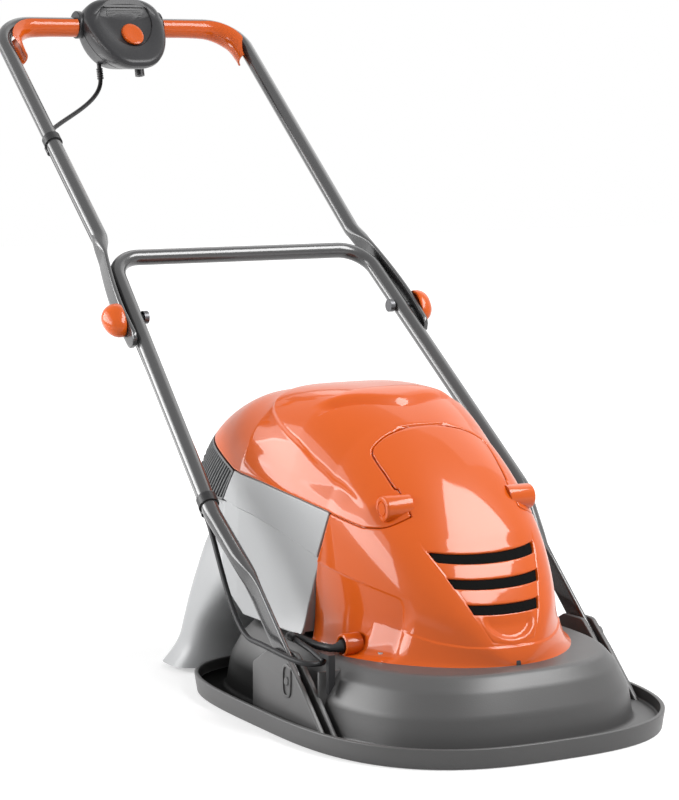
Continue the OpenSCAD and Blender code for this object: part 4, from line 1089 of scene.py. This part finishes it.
# Repeated details, by geometry nodes
def row_tree(name, shape_node, sizes, vertices=None):
    """A row of small shapes; sizes lists each size input, its kind and the shape's socket for it."""
    tree = bpy.data.node_groups.new(name, "GeometryNodeTree")
    inputs = [("Count", "Int"), ("Start", "Vector"), ("Step", "Vector"), ("Turn", "Vector"),
              ("Finish", "Material"), *(q[:2] for q in sizes)]
    for key, kind in inputs:
        tree.interface.new_socket(key, in_out="INPUT", socket_type="NodeSocket" + kind)
    tree.interface.new_socket("Geometry", in_out="OUTPUT", socket_type="NodeSocketGeometry")
    given = tree.nodes.new("NodeGroupInput").outputs
    result = tree.nodes.new("NodeGroupOutput").inputs
    line = tree.nodes.new("GeometryNodeMeshLine")
    shape = tree.nodes.new(shape_node)
    if vertices:
        shape.inputs["Vertices"].default_value = vertices
    put = tree.nodes.new("GeometryNodeInstanceOnPoints")
    real = tree.nodes.new("GeometryNodeRealizeInstances")
    finish = tree.nodes.new("GeometryNodeSetMaterial")
    links = [(given["Count"], line.inputs["Count"]), (given["Start"], line.inputs["Start Location"]),
             (given["Step"], line.inputs["Offset"]), (line.outputs["Mesh"], put.inputs["Points"]),
             (shape.outputs["Mesh"], put.inputs["Instance"]), (given["Turn"], put.inputs["Rotation"]),
             (put.outputs["Instances"], real.inputs["Geometry"]),
             (real.outputs["Geometry"], finish.inputs["Geometry"]),
             (given["Finish"], finish.inputs["Material"]), (finish.outputs["Geometry"], result["Geometry"])]
    links += [(given[key], shape.inputs[socket]) for key, _, socket in sizes]
    for start, end in links:
        tree.links.new(start, end)
    return tree


def grown(name, tree, values, body):
    """Runs a node tree with named inputs and keeps the mesh it makes."""
    seed = bpy.data.objects.new(name + "_seed", bpy.data.meshes.new(name + "_seed"))
    bpy.context.scene.collection.objects.link(seed)
    modifier = seed.modifiers.new("grow", "NODES")
    modifier.node_group = tree
    for item in tree.interface.items_tree:
        if item.in_out == "INPUT":
            modifier[item.identifier] = values[item.name]
    bpy.context.view_layer.update()
    graph = bpy.context.evaluated_depsgraph_get()
    made = seed.evaluated_get(graph)
    mesh = bpy.data.meshes.new_from_object(made, preserve_all_data_layers=True, depsgraph=graph)
    bpy.data.objects.remove(seed)
    mesh.name = name
    ob = bpy.data.objects.new(name, mesh)
    bpy.context.scene.collection.objects.link(ob)
    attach(ob, body)


BAR_ROW = row_tree("bar_row", "GeometryNodeMeshCube", [("Size", "Vector", "Size")])
DISC_ROW = row_tree("disc_row", "GeometryNodeMeshCylinder",
                    [("Radius", "Float", "Radius"), ("Height", "Float", "Depth")], 28)


def panel_bars(name, count, top, step, size):
    """A row of bars down the switch box's panel."""
    start, following = (in_box([0, -26.6, z])[0] * MM for z in (top, top - step))
    values = {"Count": count, "Start": tuple(start), "Step": tuple(following - start),
              "Size": tuple(np.array(size) * MM), "Turn": (-LEAN, 0, 0), "Finish": POD}
    grown(name, BAR_ROW, values, "upper_handle")


def discs(name, count, start, step, radius, height, angle, finish):
    """A row of discs on the switch box, turned about X."""
    values = {"Count": count, "Start": tuple(start * MM), "Step": tuple(np.array(step) * MM),
              "Radius": radius * MM, "Height": height * MM, "Turn": (angle, 0, 0), "Finish": finish}
    grown(name, DISC_ROW, values, "upper_handle")


panel_bars("panel_lip", 1, 19.5, 1.0, (58, 4.2, 3.4))
panel_bars("panel_ribs", 7, 14.0, 2.1, (52, 1.2, 0.9))
for name, half, z in (("screws_high", 38, 18), ("screws_low", 24, -44)):
    start = in_box([-half, 21.8, z])[0]
    discs(name, 2, start, (2 * half, 0, 0), 3.6, 2.4, math.pi / 2 - LEAN, BOLT)
start, following = in_box([[-30, 8, -60], [-30, 8, -63.2]])
discs("bend_ribs", 5, start, following - start, 4.4, 1.7, -LEAN, BLACK)

# Finishes of the solids, which show where no piece stands for them
FINISH = {
    "dark_plastic": POD, "orange_plastic": ORANGE, "grey_plastic": GREY, "black_plastic": BLACK, "foam": FOAM,
    "steel": STEEL, "laminations": IRON, "brass": BRASS, "carbon": CARBON, "lead_sheath": LEAD,
    "tube_paint": TUBE, "pale_plastic": PALE,
}
slot_of = {q["node"]: q["material_slot"] for q in frame["record"]["subparts"]}
for name, ob in nodes.items():
    ob.data.materials.clear()
    ob.data.materials.append(BOLT if name == "clamp_bolts" else FINISH[slot_of[name]])

# Floor: glows for the rays that see the background, and more so away from the object
scene = bpy.context.scene
FLOOR_HALF = 8
FLOOR_Z = -0.0005
mesh = bpy.data.meshes.new("floor")
corners = [(x * FLOOR_HALF, y * FLOOR_HALF, FLOOR_Z) for x, y in ((-1, -1), (1, -1), (1, 1), (-1, 1))]
mesh.from_pydata(corners, [], [[0, 1, 2, 3]])
floor = bpy.data.objects.new("floor", mesh)
scene.collection.objects.link(floor)
pale = bpy.data.materials.new("floor_pale")
pale.use_nodes = True
tree = pale.node_tree
shader = tree.nodes["Principled BSDF"]
shader.inputs["Base Color"].default_value = (0.62, 0.62, 0.62, 1)
shader.inputs["Roughness"].default_value = 0.8
shader.inputs["Emission Color"].default_value = (1, 1, 1, 1)
where = tree.nodes.new("ShaderNodeTexCoord")
away = tree.nodes.new("ShaderNodeVectorMath")
away.operation = "LENGTH"
tree.links.new(where.outputs["Object"], away.inputs[0])
glow = map_range(tree, away.outputs["Value"], 0.8, 2.4, 0.42, 1.0)
tree.links.new(math_node(tree, "MULTIPLY", glow, background_ray(tree)), shader.inputs["Emission Strength"])
mesh.materials.append(pale)

# World: white as a background, dim as a light
world = bpy.data.worlds.new("studio")
scene.world = world
world.use_nodes = True
tree = world.node_tree
sky = tree.nodes["Background"]
sky.inputs["Color"].default_value = (1, 1, 1, 1)
mix = tree.nodes.new("ShaderNodeMix")
mix.data_type = "FLOAT"
mix.inputs[2].default_value = 0.26
mix.inputs[3].default_value = 1.0
tree.links.new(background_ray(tree), mix.inputs[0])
tree.links.new(mix.outputs[0], sky.inputs["Strength"])


# Lamps, in metres
def softbox(name, where, at, size, watts, along=None):
    """A rectangular lamp that faces a point, with its long side along a direction if one is given."""
    light = bpy.data.lights.new(name, "AREA")
    light.shape = "RECTANGLE"
    light.size, light.size_y = size
    light.energy = watts
    ob = bpy.data.objects.new(name, light)
    ob.location = where
    back = Vector(where) - Vector(at)
    if along:
        back.normalize()
        side = Vector(along) - Vector(along).dot(back) * back
        side.normalize()
        ob.rotation_euler = Matrix((side, back.cross(side), back)).transposed().to_euler()
    else:
        ob.rotation_euler = (-back).to_track_quat("-Z", "Y").to_euler()
    scene.collection.objects.link(ob)


softbox("left_low", (-1.99, 1.07, 0.78), (0, 0.05, 0.25), (2.5, 0.70), 52)
softbox("left_high", (-1.85, 1.00, 1.30), (0, 0.05, 0.25), (2.5, 0.50), 12)
softbox("front_strip", (0.95, -1.12, 1.98), (0, -0.08, 0.2), (1.9, 0.85), 70, (0.407, 0.638, 0.129))
softbox("behind_high", (1.37, 1.47, 2.04), (0, 0.1, 0.3), (2.6, 1.8), 14)

# Camera, fitted to the photo
AZIMUTH = math.radians(29.305)
PITCH = math.radians(6.972)
camera = bpy.data.objects.new("camera", bpy.data.cameras.new("camera"))
scene.collection.objects.link(camera)
scene.camera = camera
camera.data.sensor_width = 36
camera.data.lens = 116.27
camera.data.clip_start, camera.data.clip_end = 0.1, 50
camera.location = (-1.49238, -2.43639, 0.70035)
look = Vector((math.sin(AZIMUTH) * math.cos(PITCH), math.cos(AZIMUTH) * math.cos(PITCH), -math.sin(PITCH)))
camera.rotation_euler = look.to_track_quat("-Z", "Y").to_euler()
scene.view_settings.view_transform = "Standard"
